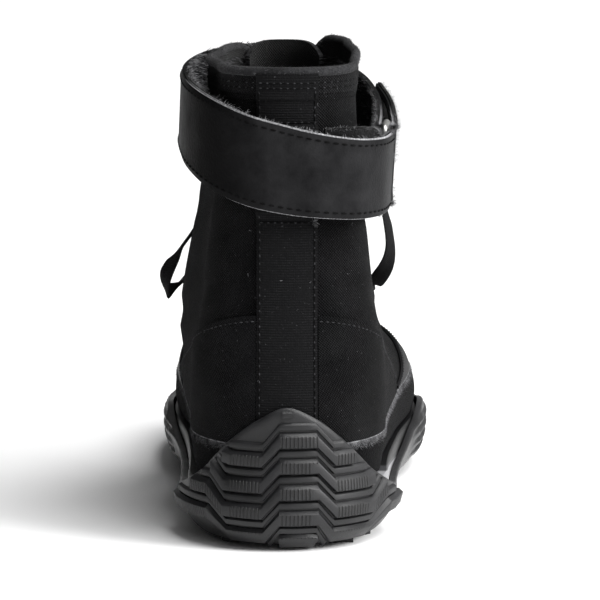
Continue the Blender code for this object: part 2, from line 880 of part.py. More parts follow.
def curve(name, points, thick, stuff, closed=False):
    """A round wire or cord along the points."""
    line = bpy.data.curves.new(name, "CURVE")
    line.dimensions = "3D"
    line.bevel_depth = thick / 2 * MM
    line.bevel_resolution = 2
    line.use_fill_caps = True
    spline = line.splines.new("POLY")
    spline.points.add(len(points) - 1)
    for place, point in zip(spline.points, points):
        place.co = (*(point * MM), 1)
    spline.use_cyclic_u = closed
    made = bpy.data.objects.new(name, line)
    shoe.objects.link(made)
    line.materials.append(stuff)
    return made


# Ring: a rectangle of wire, its long sides in the strap's two turns

RING_OVER = RING_WIRE / 2 + 0.8
RING_CORNER = 1.8


def ring_points():
    tops = [leaned(bar_row, False) for bar_row in (REAR_BAR, FRONT_BAR)]
    feet = [leaned(bar_row, True) for bar_row in (REAR_BAR, FRONT_BAR)]
    longer = [(top - foot).normalized() * RING_OVER for top, foot in zip(tops, feet)]
    corners_of_ring = [
        tops[0] + longer[0], tops[1] + longer[1], feet[1] - longer[1], feet[0] - longer[0],
    ]
    points = []
    for number, corner in enumerate(corners_of_ring):
        before = corners_of_ring[number - 1]
        after = corners_of_ring[(number + 1) % 4]
        start = corner + (before - corner).normalized() * RING_CORNER
        end = corner + (after - corner).normalized() * RING_CORNER
        points += [start, (start + end + 2 * corner) / 4, end]
    return points


curve("strap_ring", ring_points(), RING_WIRE, METAL, closed=True)

# Laces: each crossing is two flat strands, from an eyelet to under the other edge

LACE_OUT = PANEL_OUT + EYELET_FORM[0][1] + LACE_THICK / 2 + 5 * GAP
LACE_UNDER = -1.2
STRAND_STEPS = 8


def ribbon(line, outs):
    """A flat strand along a line, its width across the line and the outward direction."""

    def corner(number, edge):
        before, after = line[max(0, number - 1)], line[min(len(line) - 1, number + 1)]
        wide = outs[number].cross(after - before).normalized() * LACE_WIDTH / 2
        high = outs[number] * LACE_THICK / 2
        return line[number] + (-wide, wide, wide, -wide)[edge] + (-high, -high, high, high)[edge]

    return bar(list(range(len(line))), corner)


def strand(side, low, high):
    """One strand from an eyelet up and over to under the throat's other edge."""
    line, outs = [], []
    for step in range(STRAND_STEPS + 1):
        t = step / STRAND_STEPS
        height = low + (high - low - 1.5) * t
        edge = throat_half(height)
        across = side * ((edge + EYELET_IN) * (1 - t) - (edge - 3.4) * t)
        out = LACE_OUT + (LACE_UNDER - LACE_OUT) * ramp(t, 0.3, 1.0)
        out += 0.8 * math.sin(math.pi * t) if side > 0 else 0.0
        line.append(front(across, height, out))
        at_side = 1 if across >= 0 else -1
        outs.append(outward(at_side, front_along(at_side, height, abs(across)), height))
    return ribbon(line, outs)


LEVELS = eyelet_levels()
for number, (low_pair, high_pair) in enumerate(zip(LEVELS, LEVELS[1:])):
    crossing = add(f"lace_crossing_{number + 1}", strand(1, low_pair, high_pair), LACE)
    other = add(f"strand_{number + 1}", strand(-1, low_pair, high_pair), LACE, cutters)
    boolean(crossing, other, "UNION")

# The top strand runs from one top eyelet to the other, under the knot

KNOT_LEVEL = 131.0
TOP_RISE = 2.4
top_line, top_outs = [], []
for step in range(2 * STRAND_STEPS + 1):
    t = step / STRAND_STEPS - 1
    height = KNOT_LEVEL + (EYELET_LAST - KNOT_LEVEL) * abs(t)
    across = t * (throat_half(height) + EYELET_IN)
    side = 1 if across >= 0 else -1
    top_line.append(front(across, height, LACE_OUT + TOP_RISE * (1 - t * t)))
    top_outs.append(outward(side, front_along(side, height, abs(across)), height))
add("lace_top", ribbon(top_line, top_outs), LACE)

# Knot, loops and ends are free cord; each route is along, height and out of the last

CORD_THICK = 3.0
KNOT = front(0, KNOT_LEVEL, LACE_OUT + TOP_RISE + LACE_THICK / 2 + 4.0)
Route = namedtuple("Route", "along height out")
LOOP_OUTER = (
    Route(0.055, 131, 10.5), Route(0.12, 130, 9.5), Route(0.20, 127, 8.5), Route(0.265, 120, 9.5),
    Route(0.305, 110, 11.8), Route(0.32, 101, 12.6), Route(0.322, 94.5, 12.0), Route(0.32, 89, 10.3),
    Route(0.312, 84.8, 7.6), Route(0.295, 82, 5.0), Route(0.26, 81.5, 3.8), Route(0.21, 86, 4.2),
    Route(0.165, 96, 6.0), Route(0.125, 108, 8.5), Route(0.09, 119, 9.8), Route(0.05, 127, 10.5),
)
LOOP_INNER = (
    Route(0.05, 131, 10.5), Route(0.085, 124, 9.5), Route(0.12, 115, 8.8), Route(0.165, 105.5, 8.5),
    Route(0.225, 97.5, 9.5), Route(0.285, 90.5, 12.0), Route(0.31, 83.5, 13.5), Route(0.295, 77.5, 12.5),
    Route(0.25, 75.5, 9.5), Route(0.205, 80, 8.0), Route(0.165, 92, 8.0), Route(0.12, 106, 9.3),
    Route(0.08, 118, 10.0), Route(0.05, 127, 10.5),
)
END_OUTER = (
    Route(0.025, 125, 11.0), Route(0.055, 116, 9.5), Route(0.08, 105, 9.0), Route(0.095, 95, 9.0),
    Route(0.10, 86, 9.0), Route(0.10, 79, 9.0),
)
END_INNER = (
    Route(0.025, 124, 11.0), Route(0.06, 114, 9.5), Route(0.085, 103, 9.0), Route(0.105, 92, 9.0),
    Route(0.12, 82, 9.0), Route(0.125, 76, 8.5),
)
CORDS = ("lace_knot", "lace_loop_outer", "lace_loop_inner", "lace_end_outer", "lace_end_inner")

knot = bmesh.new()
bmesh.ops.create_uvsphere(knot, u_segments=10, v_segments=6, radius=1)
for point in knot.verts:
    point.co = (KNOT + Vector((5.0 * point.co.x, 3.2 * point.co.y, 4.0 * point.co.z))) * MM
add("lace_knot", knot, LACE)
for name, side, route in (
    ("lace_loop_outer", 1, LOOP_OUTER),
    ("lace_loop_inner", -1, LOOP_INNER),
    ("lace_end_outer", 1, END_OUTER),
    ("lace_end_inner", -1, END_INNER),
):
    stops = [body(side, *row) for row in route]
    curve(name, stops, CORD_THICK, LACE)

# The origin: under the middle of the box round everything but the free cords

def corners():
    """The box round the solid pieces, as two corners."""
    bpy.context.view_layer.update()
    ready = bpy.context.evaluated_depsgraph_get()
    points = []
    for piece in shoe.objects:
        if piece.name not in CORDS:
            made = piece.evaluated_get(ready)
            points += [point.co.copy() for point in made.to_mesh().vertices]
    low = Vector([min(point[axis] for point in points) for axis in range(3)])
    high = Vector([max(point[axis] for point in points) for axis in range(3)])
    return low, high


low, high = corners()
for piece in (*shoe.objects, *cutters.objects):
    piece.location = (-(low.x + high.x) / 2, -(low.y + high.y) / 2, -low.z)
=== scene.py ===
"""The looks of the high-top sneaker: every surface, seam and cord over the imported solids.

Shapes come from the same last as the solids, in millimetres in the last's own frame, and are
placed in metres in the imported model's frame.
"""

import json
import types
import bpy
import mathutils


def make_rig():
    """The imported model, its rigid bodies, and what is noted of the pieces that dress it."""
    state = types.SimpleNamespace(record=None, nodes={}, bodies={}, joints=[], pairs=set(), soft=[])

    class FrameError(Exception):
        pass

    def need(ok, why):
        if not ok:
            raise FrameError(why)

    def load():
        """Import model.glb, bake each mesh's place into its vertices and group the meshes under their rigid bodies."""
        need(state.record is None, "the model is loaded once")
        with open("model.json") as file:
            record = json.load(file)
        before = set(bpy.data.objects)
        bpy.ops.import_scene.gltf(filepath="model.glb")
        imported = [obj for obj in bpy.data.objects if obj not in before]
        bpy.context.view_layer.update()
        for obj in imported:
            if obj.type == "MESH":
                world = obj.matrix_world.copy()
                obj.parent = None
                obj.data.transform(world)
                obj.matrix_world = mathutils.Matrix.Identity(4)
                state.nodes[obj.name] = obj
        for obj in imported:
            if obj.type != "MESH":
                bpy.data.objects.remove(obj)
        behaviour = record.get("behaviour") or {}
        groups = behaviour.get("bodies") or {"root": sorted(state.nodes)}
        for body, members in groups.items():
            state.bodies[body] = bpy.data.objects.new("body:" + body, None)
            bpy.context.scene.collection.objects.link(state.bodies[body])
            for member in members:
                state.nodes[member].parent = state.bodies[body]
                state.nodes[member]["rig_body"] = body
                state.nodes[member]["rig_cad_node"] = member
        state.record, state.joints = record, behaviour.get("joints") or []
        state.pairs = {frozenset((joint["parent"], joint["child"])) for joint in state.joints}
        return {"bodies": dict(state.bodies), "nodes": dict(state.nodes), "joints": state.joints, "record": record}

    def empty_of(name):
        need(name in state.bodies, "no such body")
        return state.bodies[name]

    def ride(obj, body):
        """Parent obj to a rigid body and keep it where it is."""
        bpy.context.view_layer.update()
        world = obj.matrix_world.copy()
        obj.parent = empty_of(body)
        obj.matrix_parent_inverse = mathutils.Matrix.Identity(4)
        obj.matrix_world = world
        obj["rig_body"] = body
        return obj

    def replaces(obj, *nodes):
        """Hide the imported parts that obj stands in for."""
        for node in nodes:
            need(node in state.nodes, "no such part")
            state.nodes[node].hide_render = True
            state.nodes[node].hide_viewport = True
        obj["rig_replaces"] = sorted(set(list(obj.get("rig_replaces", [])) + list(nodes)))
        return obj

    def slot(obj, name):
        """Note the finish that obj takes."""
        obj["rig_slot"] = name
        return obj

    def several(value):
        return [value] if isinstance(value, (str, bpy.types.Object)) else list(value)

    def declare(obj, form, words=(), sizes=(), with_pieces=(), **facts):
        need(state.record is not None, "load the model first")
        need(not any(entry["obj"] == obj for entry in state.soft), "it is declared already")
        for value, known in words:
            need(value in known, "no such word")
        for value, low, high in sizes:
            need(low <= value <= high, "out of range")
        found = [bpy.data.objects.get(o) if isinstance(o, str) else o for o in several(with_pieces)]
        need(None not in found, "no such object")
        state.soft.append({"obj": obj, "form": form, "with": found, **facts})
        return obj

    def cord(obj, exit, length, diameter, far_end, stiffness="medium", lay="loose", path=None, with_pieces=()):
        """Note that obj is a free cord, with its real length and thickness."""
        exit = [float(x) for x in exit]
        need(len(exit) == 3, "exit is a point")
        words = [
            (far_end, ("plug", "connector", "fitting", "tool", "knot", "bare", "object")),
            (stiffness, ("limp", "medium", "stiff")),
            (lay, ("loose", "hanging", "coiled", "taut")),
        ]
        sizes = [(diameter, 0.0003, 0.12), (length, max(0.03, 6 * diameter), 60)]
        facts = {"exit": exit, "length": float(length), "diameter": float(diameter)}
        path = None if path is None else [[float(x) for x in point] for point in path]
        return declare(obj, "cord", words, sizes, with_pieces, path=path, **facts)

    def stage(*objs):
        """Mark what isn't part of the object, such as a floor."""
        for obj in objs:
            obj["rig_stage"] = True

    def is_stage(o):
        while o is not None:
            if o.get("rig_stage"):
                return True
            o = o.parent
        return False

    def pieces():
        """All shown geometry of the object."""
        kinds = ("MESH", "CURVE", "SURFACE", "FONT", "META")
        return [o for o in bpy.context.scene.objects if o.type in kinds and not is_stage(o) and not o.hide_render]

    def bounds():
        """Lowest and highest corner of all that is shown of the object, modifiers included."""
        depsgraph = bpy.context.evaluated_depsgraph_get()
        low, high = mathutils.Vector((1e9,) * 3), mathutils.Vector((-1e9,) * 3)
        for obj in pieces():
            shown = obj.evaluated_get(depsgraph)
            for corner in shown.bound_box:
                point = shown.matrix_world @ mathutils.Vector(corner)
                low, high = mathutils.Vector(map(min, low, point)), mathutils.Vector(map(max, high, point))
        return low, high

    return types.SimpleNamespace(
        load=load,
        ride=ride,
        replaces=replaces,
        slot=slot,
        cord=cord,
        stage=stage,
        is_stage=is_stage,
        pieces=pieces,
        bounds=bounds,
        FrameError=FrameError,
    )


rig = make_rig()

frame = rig.load()
cad_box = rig.bounds()

import json
import math
import random
from collections import namedtuple
from functools import lru_cache

import bpy
import numpy as np
from mathutils import Matrix, Vector

random.seed(7)
MM = 0.001
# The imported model's origin lies under the middle of the shoe; this moves the last there
ORIGIN = Vector((-1.384, -141.165, 0.0))

# The sizes that drive the last, as in the solids
LENGTH = 284.0
BALL_WIDTH = 98.0
COLLAR = 176.0
WALL = 2.0
HALF_BALL = BALL_WIDTH / 2
GAP = 0.3

# The last, one row for each level, in percent: height of the collar's, back and front of
# the length, the rest of half the ball width. Out is the little toe's side.
Section = namedtuple("Section", "height back front heel waist_out waist_in ball_out ball_in tip")
LAST = (
    Section(9.0, 1.4, 98.2, 65, 76, 68, 94, 87, -18),
    Section(17.0, 0.4, 100.0, 70, 82, 78, 100, 94, -18),
    Section(24.0, 0.0, 97.9, 72, 82, 82, 94, 91, -18),
    Section(29.5, 0.0, 91.2, 72, 79, 84, 82, 85, -16),
    Section(35.0, 0.4, 78.2, 71, 76, 84, 70, 79, -14),
    Section(43.0, 1.1, 66.2, 69, 71, 86, 61, 76, -10),
    Section(52.0, 2.3, 57.7, 65, 65, 82, 55, 69, -8),
    Section(62.5, 3.3, 51.8, 61, 61, 75, 53, 63, -7),
    Section(71.5, 4.2, 47.9, 57, 57, 69, 51, 59, -6),
    Section(85.0, 4.8, 43.7, 53, 53, 63, 48, 55, -5),
    Section(100.0, 4.9, 41.2, 49, 51, 59, 45, 51, -4),
)

# Where heel, waist and ball lie along each level, and how square the toe's arc is
HEEL_PLACE = 0.16
WAIST_PLACE = 0.42
BALL_PLACE = 0.68
TOE_FULL = 2.2
TOE_SHARE = 0.30
HEEL_SHARE = 0.70
FRONT_STEPS = 80

# Toe spring, and the levels of the sole and the bands on it
SPRING_FROM = 205.0
SPRING = 11.0
SPRING_FADES = 36.0
LUG = 2.4
OUTSOLE_FLOOR = 7.7
MIDSOLE_LOW = OUTSOLE_FLOOR + GAP
MIDSOLE_FLOOR = 15.7
FEATHER = MIDSOLE_FLOOR + GAP
MIDSOLE_TOP = 22.5
BAND_LOW = MIDSOLE_TOP + 5 * GAP
BAND_TOP = 39.0
INSOLE_THICK = 3.5
BOWL = 18.0
WIDEST = 30.0

# How far out of the last's surface each layer lies
BAND_IN = 0.5
BAND_OUT = 1.6
TAPE_OUT = 1.6
PANEL_IN = 0.6
PANEL_OUT = 1.6
MIDSOLE_OUT = 2.3
OUTSOLE_IN = MIDSOLE_OUT + GAP
OUTSOLE_OUT = 5.3
HEEL_PEAK_OUT = 4.8

# Throat, hem, tape, keeper, strap, laces
THROAT = 69.0
THROAT_HALF = 12.0
HEM = 166.0
HEM_OUT = 0.7
TAPE_WIDTH = 21.6
KEEPER_LOW = 121.0
KEEPER_HIGH = 157.0
KEEPER_OUT = 1.6
STRAP_WIDTH = 28.6
STRAP_THICK = 2.4
RING_WIRE = 2.6
PAIRS = 6
EYELET_FIRST = 78.0
EYELET_LAST = 137.0
EYELET_IN = 8.0
LACE_WIDTH = 6.4
LACE_THICK = 1.3


def smooth(places, values, at, flat=False):
    """A curve through the values that never swings past them; flat levels both its ends."""
    if at <= places[0]:
        return values[0]
    if at >= places[-1]:
        return values[-1]
    steps = [b - a for a, b in zip(places, places[1:])]
    slopes = [(b - a) / step for a, b, step in zip(values, values[1:], steps)]
    leans = [0.0 if flat else slopes[0]]
    for before, after in zip(slopes, slopes[1:]):
        same_way = before * after > 0
        leans.append(2 * before * after / (before + after) if same_way else 0.0)
    leans.append(0.0 if flat else slopes[-1])
    i = max(k for k in range(len(steps)) if places[k] <= at)
    t = (at - places[i]) / steps[i]
    ends = values[i] * (1 + 2 * t) * (1 - t) ** 2 + values[i + 1] * t * t * (3 - 2 * t)
    bends = leans[i] * t * (1 - t) ** 2 - leans[i + 1] * t * t * (1 - t)
    return ends + bends * steps[i]


def ramp(at, start, end):
    """0 before start, 1 after end, and an even S between."""
    t = min(1.0, max(0.0, (at - start) / (end - start)))
    return t * t * (3 - 2 * t)


@lru_cache(maxsize=None)
def section_at(height):
    """The last's row at a height, in millimetres."""
    level = 100 * height / COLLAR
    levels = [row.height for row in LAST]
    units = dict.fromkeys(Section._fields, HALF_BALL / 100)
    units["height"] = COLLAR / 100
    units["back"] = LENGTH / 100
    units["front"] = LENGTH / 100
    columns = {}
    for name in Section._fields:
        values = [getattr(row, name) for row in LAST]
        columns[name] = units[name] * smooth(levels, values, level)
    return Section(**columns)


def plan(side, along, height):
    """A point of the last's outline at a height. Along is 0 at the toe and 1 at the heel."""
    if along < 0:
        side, along = -side, -along
    if along > 1:
        side, along = -side, 2 - along
    row = section_at(height)
    long = row.front - row.back
    heel_y = row.back + HEEL_PLACE * long
    waist_y = row.back + WAIST_PLACE * long
    ball_y = row.back + BALL_PLACE * long
    waist = row.waist_out if side > 0 else row.waist_in
    ball = row.ball_out if side > 0 else row.ball_in
    if along < TOE_SHARE:
        turn = math.pi / 2 * along / TOE_SHARE
        reach = math.cos(turn) ** (2 / TOE_FULL)
        x = row.tip * reach**2 + side * ball * math.sin(turn) ** (2 / TOE_FULL)
        return x, ball_y + (row.front - ball_y) * reach
    if along > HEEL_SHARE:
        turn = math.pi / 2 * (1 - along) / (1 - HEEL_SHARE)
        return side * row.heel * math.sin(turn), heel_y - (heel_y - row.back) * math.cos(turn)
    y = ball_y + (heel_y - ball_y) * (along - TOE_SHARE) / (HEEL_SHARE - TOE_SHARE)
    widths = (row.heel, waist, ball)
    return side * smooth((heel_y, waist_y, ball_y), widths, y, flat=True), y


def lift(y, height):
    """How far the toe spring raises a point."""
    rise = max(0.0, (y - SPRING_FROM) / (LENGTH - SPRING_FROM))
    return SPRING * rise * rise * max(0.0, 1 - height / SPRING_FADES)


def bare(side, along, height):
    """The last's surface."""
    x, y = plan(side, along, height)
    return Vector((x, y, height + lift(y, height)))


def outward(side, along, height):
    """The last's surface normal."""
    step = 0.004
    round_it = bare(side, along + step, height) - bare(side, along - step, height)
    up = bare(side, along, height + 0.4) - bare(side, along, height - 0.4)
    return side * up.cross(round_it).normalized()


def body(side, along, height, out=0.0):
    """A point so far out of the last's surface, with the hem's soft step at the collar."""
    hem = HEM_OUT * ramp(height, HEM - 0.5, HEM + 0.5)
    return bare(side, along, height) + outward(side, along, height) * (out + hem)


def throat_half(height):
    """Half the width of the throat at a height, 0 below it."""
    opened = ramp(height, THROAT - 1.0, THROAT + 8.0)
    return THROAT_HALF * opened if height > THROAT else 0.0


def side_of(across):
    """1 on the outer side, -1 on the inner one."""
    return 1 if across >= 0 else -1


def distances(points):
    """How far along a line each of its points lies."""
    run = [0.0]
    for one, other in zip(points, points[1:]):
        run.append(run[-1] + (other - one).length)
    return run


@lru_cache(maxsize=None)
def front_run(side, height):
    """Distances round the outline from the middle of the front, and their places along it."""
    places = [HEEL_SHARE * step / FRONT_STEPS for step in range(FRONT_STEPS + 1)]
    return distances([Vector(plan(side, place, height)) for place in places]), places


def front_along(side, height, across):
    """How far along the outline lies so far round from the middle of the throat."""
    return smooth(*front_run(side, height), across)


def front(across, height, out=0.0):
    """A point on the front, by its distance round from the middle of the throat."""
    side = side_of(across)
    return body(side, front_along(side, height, abs(across)), height, out)


def front_outward(across, height):
    """The direction out of the front at such a point."""
    side = side_of(across)
    return outward(side, front_along(side, height, abs(across)), height)


def back_along(across, height):
    """How far along the outline lies so far across from the middle of the heel."""
    turn = math.asin(min(1.0, abs(across) / section_at(height).heel))
    return 1 - (1 - HEEL_SHARE) * turn * 2 / math.pi


def back(across, height, out=0.0):
    """A point on the back, by its distance across from the middle of the heel."""
    side = side_of(across)
    return body(side, back_along(across, height), height, out)


def round_the_foot(share):
    """The side and place along it, going from the toe down the inner side and back."""
    if share < 0.5:
        return -1, 2 * share
    return 1, 2 - 2 * share


def rounded(stops, pieces):
    """Points on an even curve through the stops, a given number for each stretch."""
    ends = [2 * stops[0] - stops[1], *stops, 2 * stops[-1] - stops[-2]]
    points = []
    for a, b, c, d in zip(ends, ends[1:], ends[2:], ends[3:]):
        ab, bc, cd = [math.sqrt((q - p).length) for p, q in ((a, b), (b, c), (c, d))]
        lean_b = ((b - a) / ab - (c - a) / (ab + bc) + (c - b) / bc) * bc
        lean_c = ((c - b) / bc - (d - b) / (bc + cd) + (d - c) / cd) * bc
        for step in range(pieces):
            t = step / pieces
            ends_part = b * (1 + 2 * t) * (1 - t) ** 2 + c * t * t * (3 - 2 * t)
            points.append(ends_part + lean_b * t * (1 - t) ** 2 - lean_c * t * t * (1 - t))
    return [*points, stops[-1]]


def between(values, share):
    """The value at a share of the way through a list, straight between its entries."""
    place = share * (len(values) - 1)
    first = min(int(place), len(values) - 2)
    return values[first] + (values[first + 1] - values[first]) * (place - first)


def placed(point):
    """A point of the last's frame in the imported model's frame, in metres."""
    return (point + ORIGIN) * MM


# Materials


def linear(code):
    """An sRGB hex colour as linear red, green, blue and alpha."""
    parts = [int(code[i : i + 2], 16) / 255 for i in (1, 3, 5)]
    return (*[c / 12.92 if c <= 0.04045 else ((c + 0.055) / 1.055) ** 2.4 for c in parts], 1.0)


def node(tree, kind, inputs, **settings):
    """Adds a shader node; an input is a value, or another node's output to link."""
    made = tree.nodes.new("ShaderNode" + kind)
    for name, value in settings.items():
        setattr(made, name, value)
    for name, value in inputs.items():
        if isinstance(value, bpy.types.NodeSocket):
            tree.links.new(value, made.inputs[name])
        else:
            made.inputs[name].default_value = value
    return made


def finish_named(name, sockets):
    """A new material and its tree; the sockets are constants of its Principled shader."""
    made = bpy.data.materials.new(name)
    made.use_nodes = True
    surface = made.node_tree.nodes["Principled BSDF"]
    for socket, value in sockets.items():
        surface.inputs[socket].default_value = value
    return made, made.node_tree, surface


def speckle(tree, size, low, high):
    """Soft noise of a size in millimetres, cut to 0 below low and 1 above high."""
    place = node(tree, "TexCoord", {})
    noise = node(tree, "TexNoise", {
        "Vector": place.outputs["Object"], "Scale": 1 / (size * MM), "Detail": 3.0, "Roughness": 0.6,
    })
    cut = node(tree, "MapRange", {"Value": noise.outputs["Fac"], "From Min": low, "From Max": high})
    return cut.outputs["Result"]


def threads(tree, axis, spacing):
    """Round threads of a spacing in millimetres, across the lay map's first or second axis."""
    lay = node(tree, "UVMap", {}, uv_map="lay")
    split = node(tree, "SeparateXYZ", {"Vector": lay.outputs["UV"]})
    turns = {0: split.outputs[axis], 1: 2 * math.pi / spacing}
    turn = node(tree, "Math", turns, operation="MULTIPLY")
    return node(tree, "Math", {0: turn.outputs[0]}, operation="SINE").outputs[0]


def past_line(tree, lean, start, first, last):
    """0 to 1 between two distances, in millimetres, past a slanted line through a place."""
    place = node(tree, "TexCoord", {})
    leaning = {0: place.outputs["Object"], 1: lean / MM}
    past = node(tree, "VectorMath", leaning, operation="DOT_PRODUCT").outputs["Value"]
    line = lean.dot(placed(start)) / MM
    fade = {"Value": past, "From Min": line + first, "From Max": line + last}
    return node(tree, "MapRange", fade).outputs[0]


def mixed(tree, factor, one, other):
    """A colour between two, by a factor; the sockets for colours have these numbers."""
    return node(tree, "Mix", {0: factor, 6: one, 7: other}, data_type="RGBA").outputs[2]


def total(tree, one, other, share):
    """One height plus a share of another."""
    part = node(tree, "Math", {0: other, 1: share}, operation="MULTIPLY")
    return node(tree, "Math", {0: one, 1: part.outputs[0]}, operation="ADD").outputs[0]


def linted(tree, colour, lint, share):
    """A cloth's colour with specks of pale lint in it."""
    specks = node(tree, "Math", {0: speckle(tree, 0.8, 0.67, 0.75), 1: share}, operation="MULTIPLY")
    return mixed(tree, specks.outputs[0], colour, linear(lint))


def surfaced(tree, surface, colour, height, depth):
    """Joins a colour to the shader, and a height as bump of a depth in millimetres."""
    tree.links.new(colour, surface.inputs["Base Color"])
    bump = node(tree, "Bump", {"Height": height, "Distance": depth * MM})
    tree.links.new(bump.outputs["Normal"], surface.inputs["Normal"])


def woven(name, shade, light, lint, spacing, depth, sheen):
    """Plain-woven cloth: threads over and under, a dusty cast in patches, and caught lint."""
    made, tree, surface = finish_named(name, {
        "Roughness": 0.92, "Specular IOR Level": 0.05, "Sheen Weight": sheen, "Sheen Roughness": 0.5,
    })
    crossed = {0: threads(tree, 0, spacing), 1: threads(tree, 1, spacing)}
    over = node(tree, "Math", crossed, operation="MULTIPLY").outputs[0]
    fuzz = speckle(tree, 0.9, 0.35, 0.7)
    worn = mixed(tree, speckle(tree, 16.0, 0.35, 0.75), linear(shade), linear(light))
    fuzzy = total(tree, fuzz, over, 0.8)
    raised = node(tree, "MapRange", {"Value": fuzzy, "From Min": -0.6, "From Max": 1.4})
    colour = linted(tree, mixed(tree, raised.outputs[0], linear(shade), worn), lint, 0.6)
    surfaced(tree, surface, colour, total(tree, fuzz, over, 1.0), depth)
    return made


# Cotton canvas: matt black, plain weave of pairs of threads about 1 mm apart, with lint
CANVAS = woven("cotton_canvas", "#080809", "#1f1f20", "#626264", 1.1, 0.3, 0.02)
# Canvas folded over the collar, painted a shade lighter as highlight along the roll
LIT_RIM_CANVAS = woven("rolled_canvas_painted_highlight", "#1c1c1d", "#404042", "#808082", 1.1, 0.25, 0.06)
# The hem under the roll, painted a little lighter than the canvas as highlight, less than the roll
LIT_HEM_CANVAS = woven("hemmed_canvas_painted_highlight", "#0d0d0e", "#222223", "#6a6a6c", 1.1, 0.25, 0.03)
# Brushed knit lining, seen only inside
LINING = woven("brushed_lining", "#131313", "#232323", "#6a6a6a", 1.1, 0.3, 0.08)
# Footbed: felted fabric, trodden flat
FOOTBED = woven("felt_footbed", "#171718", "#262626", "#5a5a5a", 1.2, 0.25, 0.04)
# Flat polyester lace: tubular weave, tight and slightly glossy
LACE = woven("flat_lace", "#0f0f10", "#1d1d1e", "#4a4a4c", 0.8, 0.22, 0.03)


def grosgrain():
    """Ribbed woven tape: fine cross ribs whose crests carry painted highlight, broken into scattered dashes."""
    made, tree, surface = finish_named("grosgrain_tape", {
        "Roughness": 0.85, "Specular IOR Level": 0.08, "Sheen Weight": 0.03, "Sheen Roughness": 0.4,
    })
    patches = speckle(tree, 6.0, 0.3, 0.75)
    ribbing = {0: threads(tree, 1, 0.95), 1: patches}
    ribs = node(tree, "Math", ribbing, operation="MULTIPLY").outputs[0]
    lit = node(tree, "MapRange", {"Value": ribs, "From Min": -0.2, "From Max": 1.0})
    dotted = node(tree, "MapRange", {"Value": threads(tree, 0, 0.8), "From Min": -1.0, "To Min": 0.3})
    dots = node(tree, "Math", {0: lit.outputs[0], 1: dotted.outputs[0]}, operation="MULTIPLY")
    gaps = {0: dots.outputs[0], 1: speckle(tree, 1.2, 0.3, 0.65)}
    rib_highlight_dashes = node(tree, "Math", gaps, operation="MULTIPLY")
    # Painted highlight: the rib crests go lighter, broken into dashes
    colour = mixed(tree, rib_highlight_dashes.outputs[0], linear("#0d0d0e"), linear("#242425"))
    height = total(tree, ribs, speckle(tree, 0.7, 0.3, 0.7), 1.4)
    surfaced(tree, surface, linted(tree, colour, "#626264", 0.45), height, 0.1)
    return made


# The leather is dusty at the back; on the inner side painted shade darkens it to near black between these distances
PAINTED_SHADE_FROM = -8.0
PAINTED_SHADE_TO = -34.0


def coated_leather():
    """Smooth coated leather: black and satin, with a pebbled grain, a bloom of dust, and painted shade to near black
    on the inner side.
    """
    made, tree, surface = finish_named("coated_leather", {"Specular IOR Level": 0.03})
    bloom = speckle(tree, 9.0, 0.3, 0.75)
    dusty = mixed(tree, bloom, linear("#171718"), linear("#262627"))
    place = node(tree, "TexCoord", {})
    split = node(tree, "SeparateXYZ", {"Vector": place.outputs["Object"]})
    inner_shade = node(tree, "MapRange", {
        "Value": split.outputs["X"], "From Min": PAINTED_SHADE_FROM * MM, "From Max": PAINTED_SHADE_TO * MM,
    })
    # Painted shade: the colour goes to near black towards the inner side
    colour = mixed(tree, inner_shade.outputs[0], dusty, linear("#040404"))
    rough = node(tree, "MapRange", {"Value": bloom, "To Min": 0.44, "To Max": 0.54})
    tree.links.new(rough.outputs[0], surface.inputs["Roughness"])
    grain = total(tree, speckle(tree, 0.9, 0.3, 0.7), speckle(tree, 14.0, 0.2, 0.8), 2.0)
    surfaced(tree, surface, colour, grain, 0.06)
    return made


# From here on the strap's cut edges go dark: further ahead on the outer side, where the ring is
EDGE_DARKENS = Vector((0.0, 45.0, 0.0))
EDGE_LEAN = Vector((-0.5, 1.0, 0.0))
EDGE_FADES = 20.0


def raw_edge():
    """The cut edge of leather and backing: pale, fibrous and matt, dark with wear at the front."""
    made, tree, surface = finish_named("raw_leather_edge", {
        "Roughness": 0.95, "Specular IOR Level": 0.1,
    })
    fibres = speckle(tree, 0.7, 0.3, 0.7)
    pale = mixed(tree, fibres, linear("#5a5a5c"), linear("#b4b4b6"))
    worn = past_line(tree, EDGE_LEAN, EDGE_DARKENS, 0.0, EDGE_FADES)
    surfaced(tree, surface, mixed(tree, worn, pale, linear("#1c1c1d")), fibres, 0.2)
    return made


def napped(name, shade, light, size):
    """Suede or pile: short nap that goes light where it is brushed, with a soft rim of light."""
    made, tree, surface = finish_named(name, {
        "Roughness": 1.0, "Specular IOR Level": 0.02, "Sheen Weight": 0.03, "Sheen Roughness": 0.45,
    })
    nap = speckle(tree, size, 0.3, 0.72)
    patches = speckle(tree, 12.0, 0.3, 0.8)
    brushed = node(tree, "Math", {0: nap, 1: patches}, operation="MULTIPLY")
    colour = mixed(tree, brushed.outputs[0], linear(shade), linear(light))
    surfaced(tree, surface, colour, nap, 0.25)
    return made


def fibre(name, shade, light):
    """Single loose fibres: matt, each a little lighter or darker than the next."""
    made, tree, surface = finish_named(name, {"Roughness": 0.9, "Specular IOR Level": 0.1})
    colour = mixed(tree, speckle(tree, 2.5, 0.35, 0.65), linear(shade), linear(light))
    tree.links.new(colour, surface.inputs["Base Color"])
    return made


# Ribs on the level faces of the heel's lugs run round the heel's centre, this far apart
RIB = 1.35
HEEL_CENTRE = Vector((0.0, 45.0, 0.0))
HEEL_ROUND = 48.0
RIBS_ROUND = 2 * math.pi * HEEL_ROUND / RIB


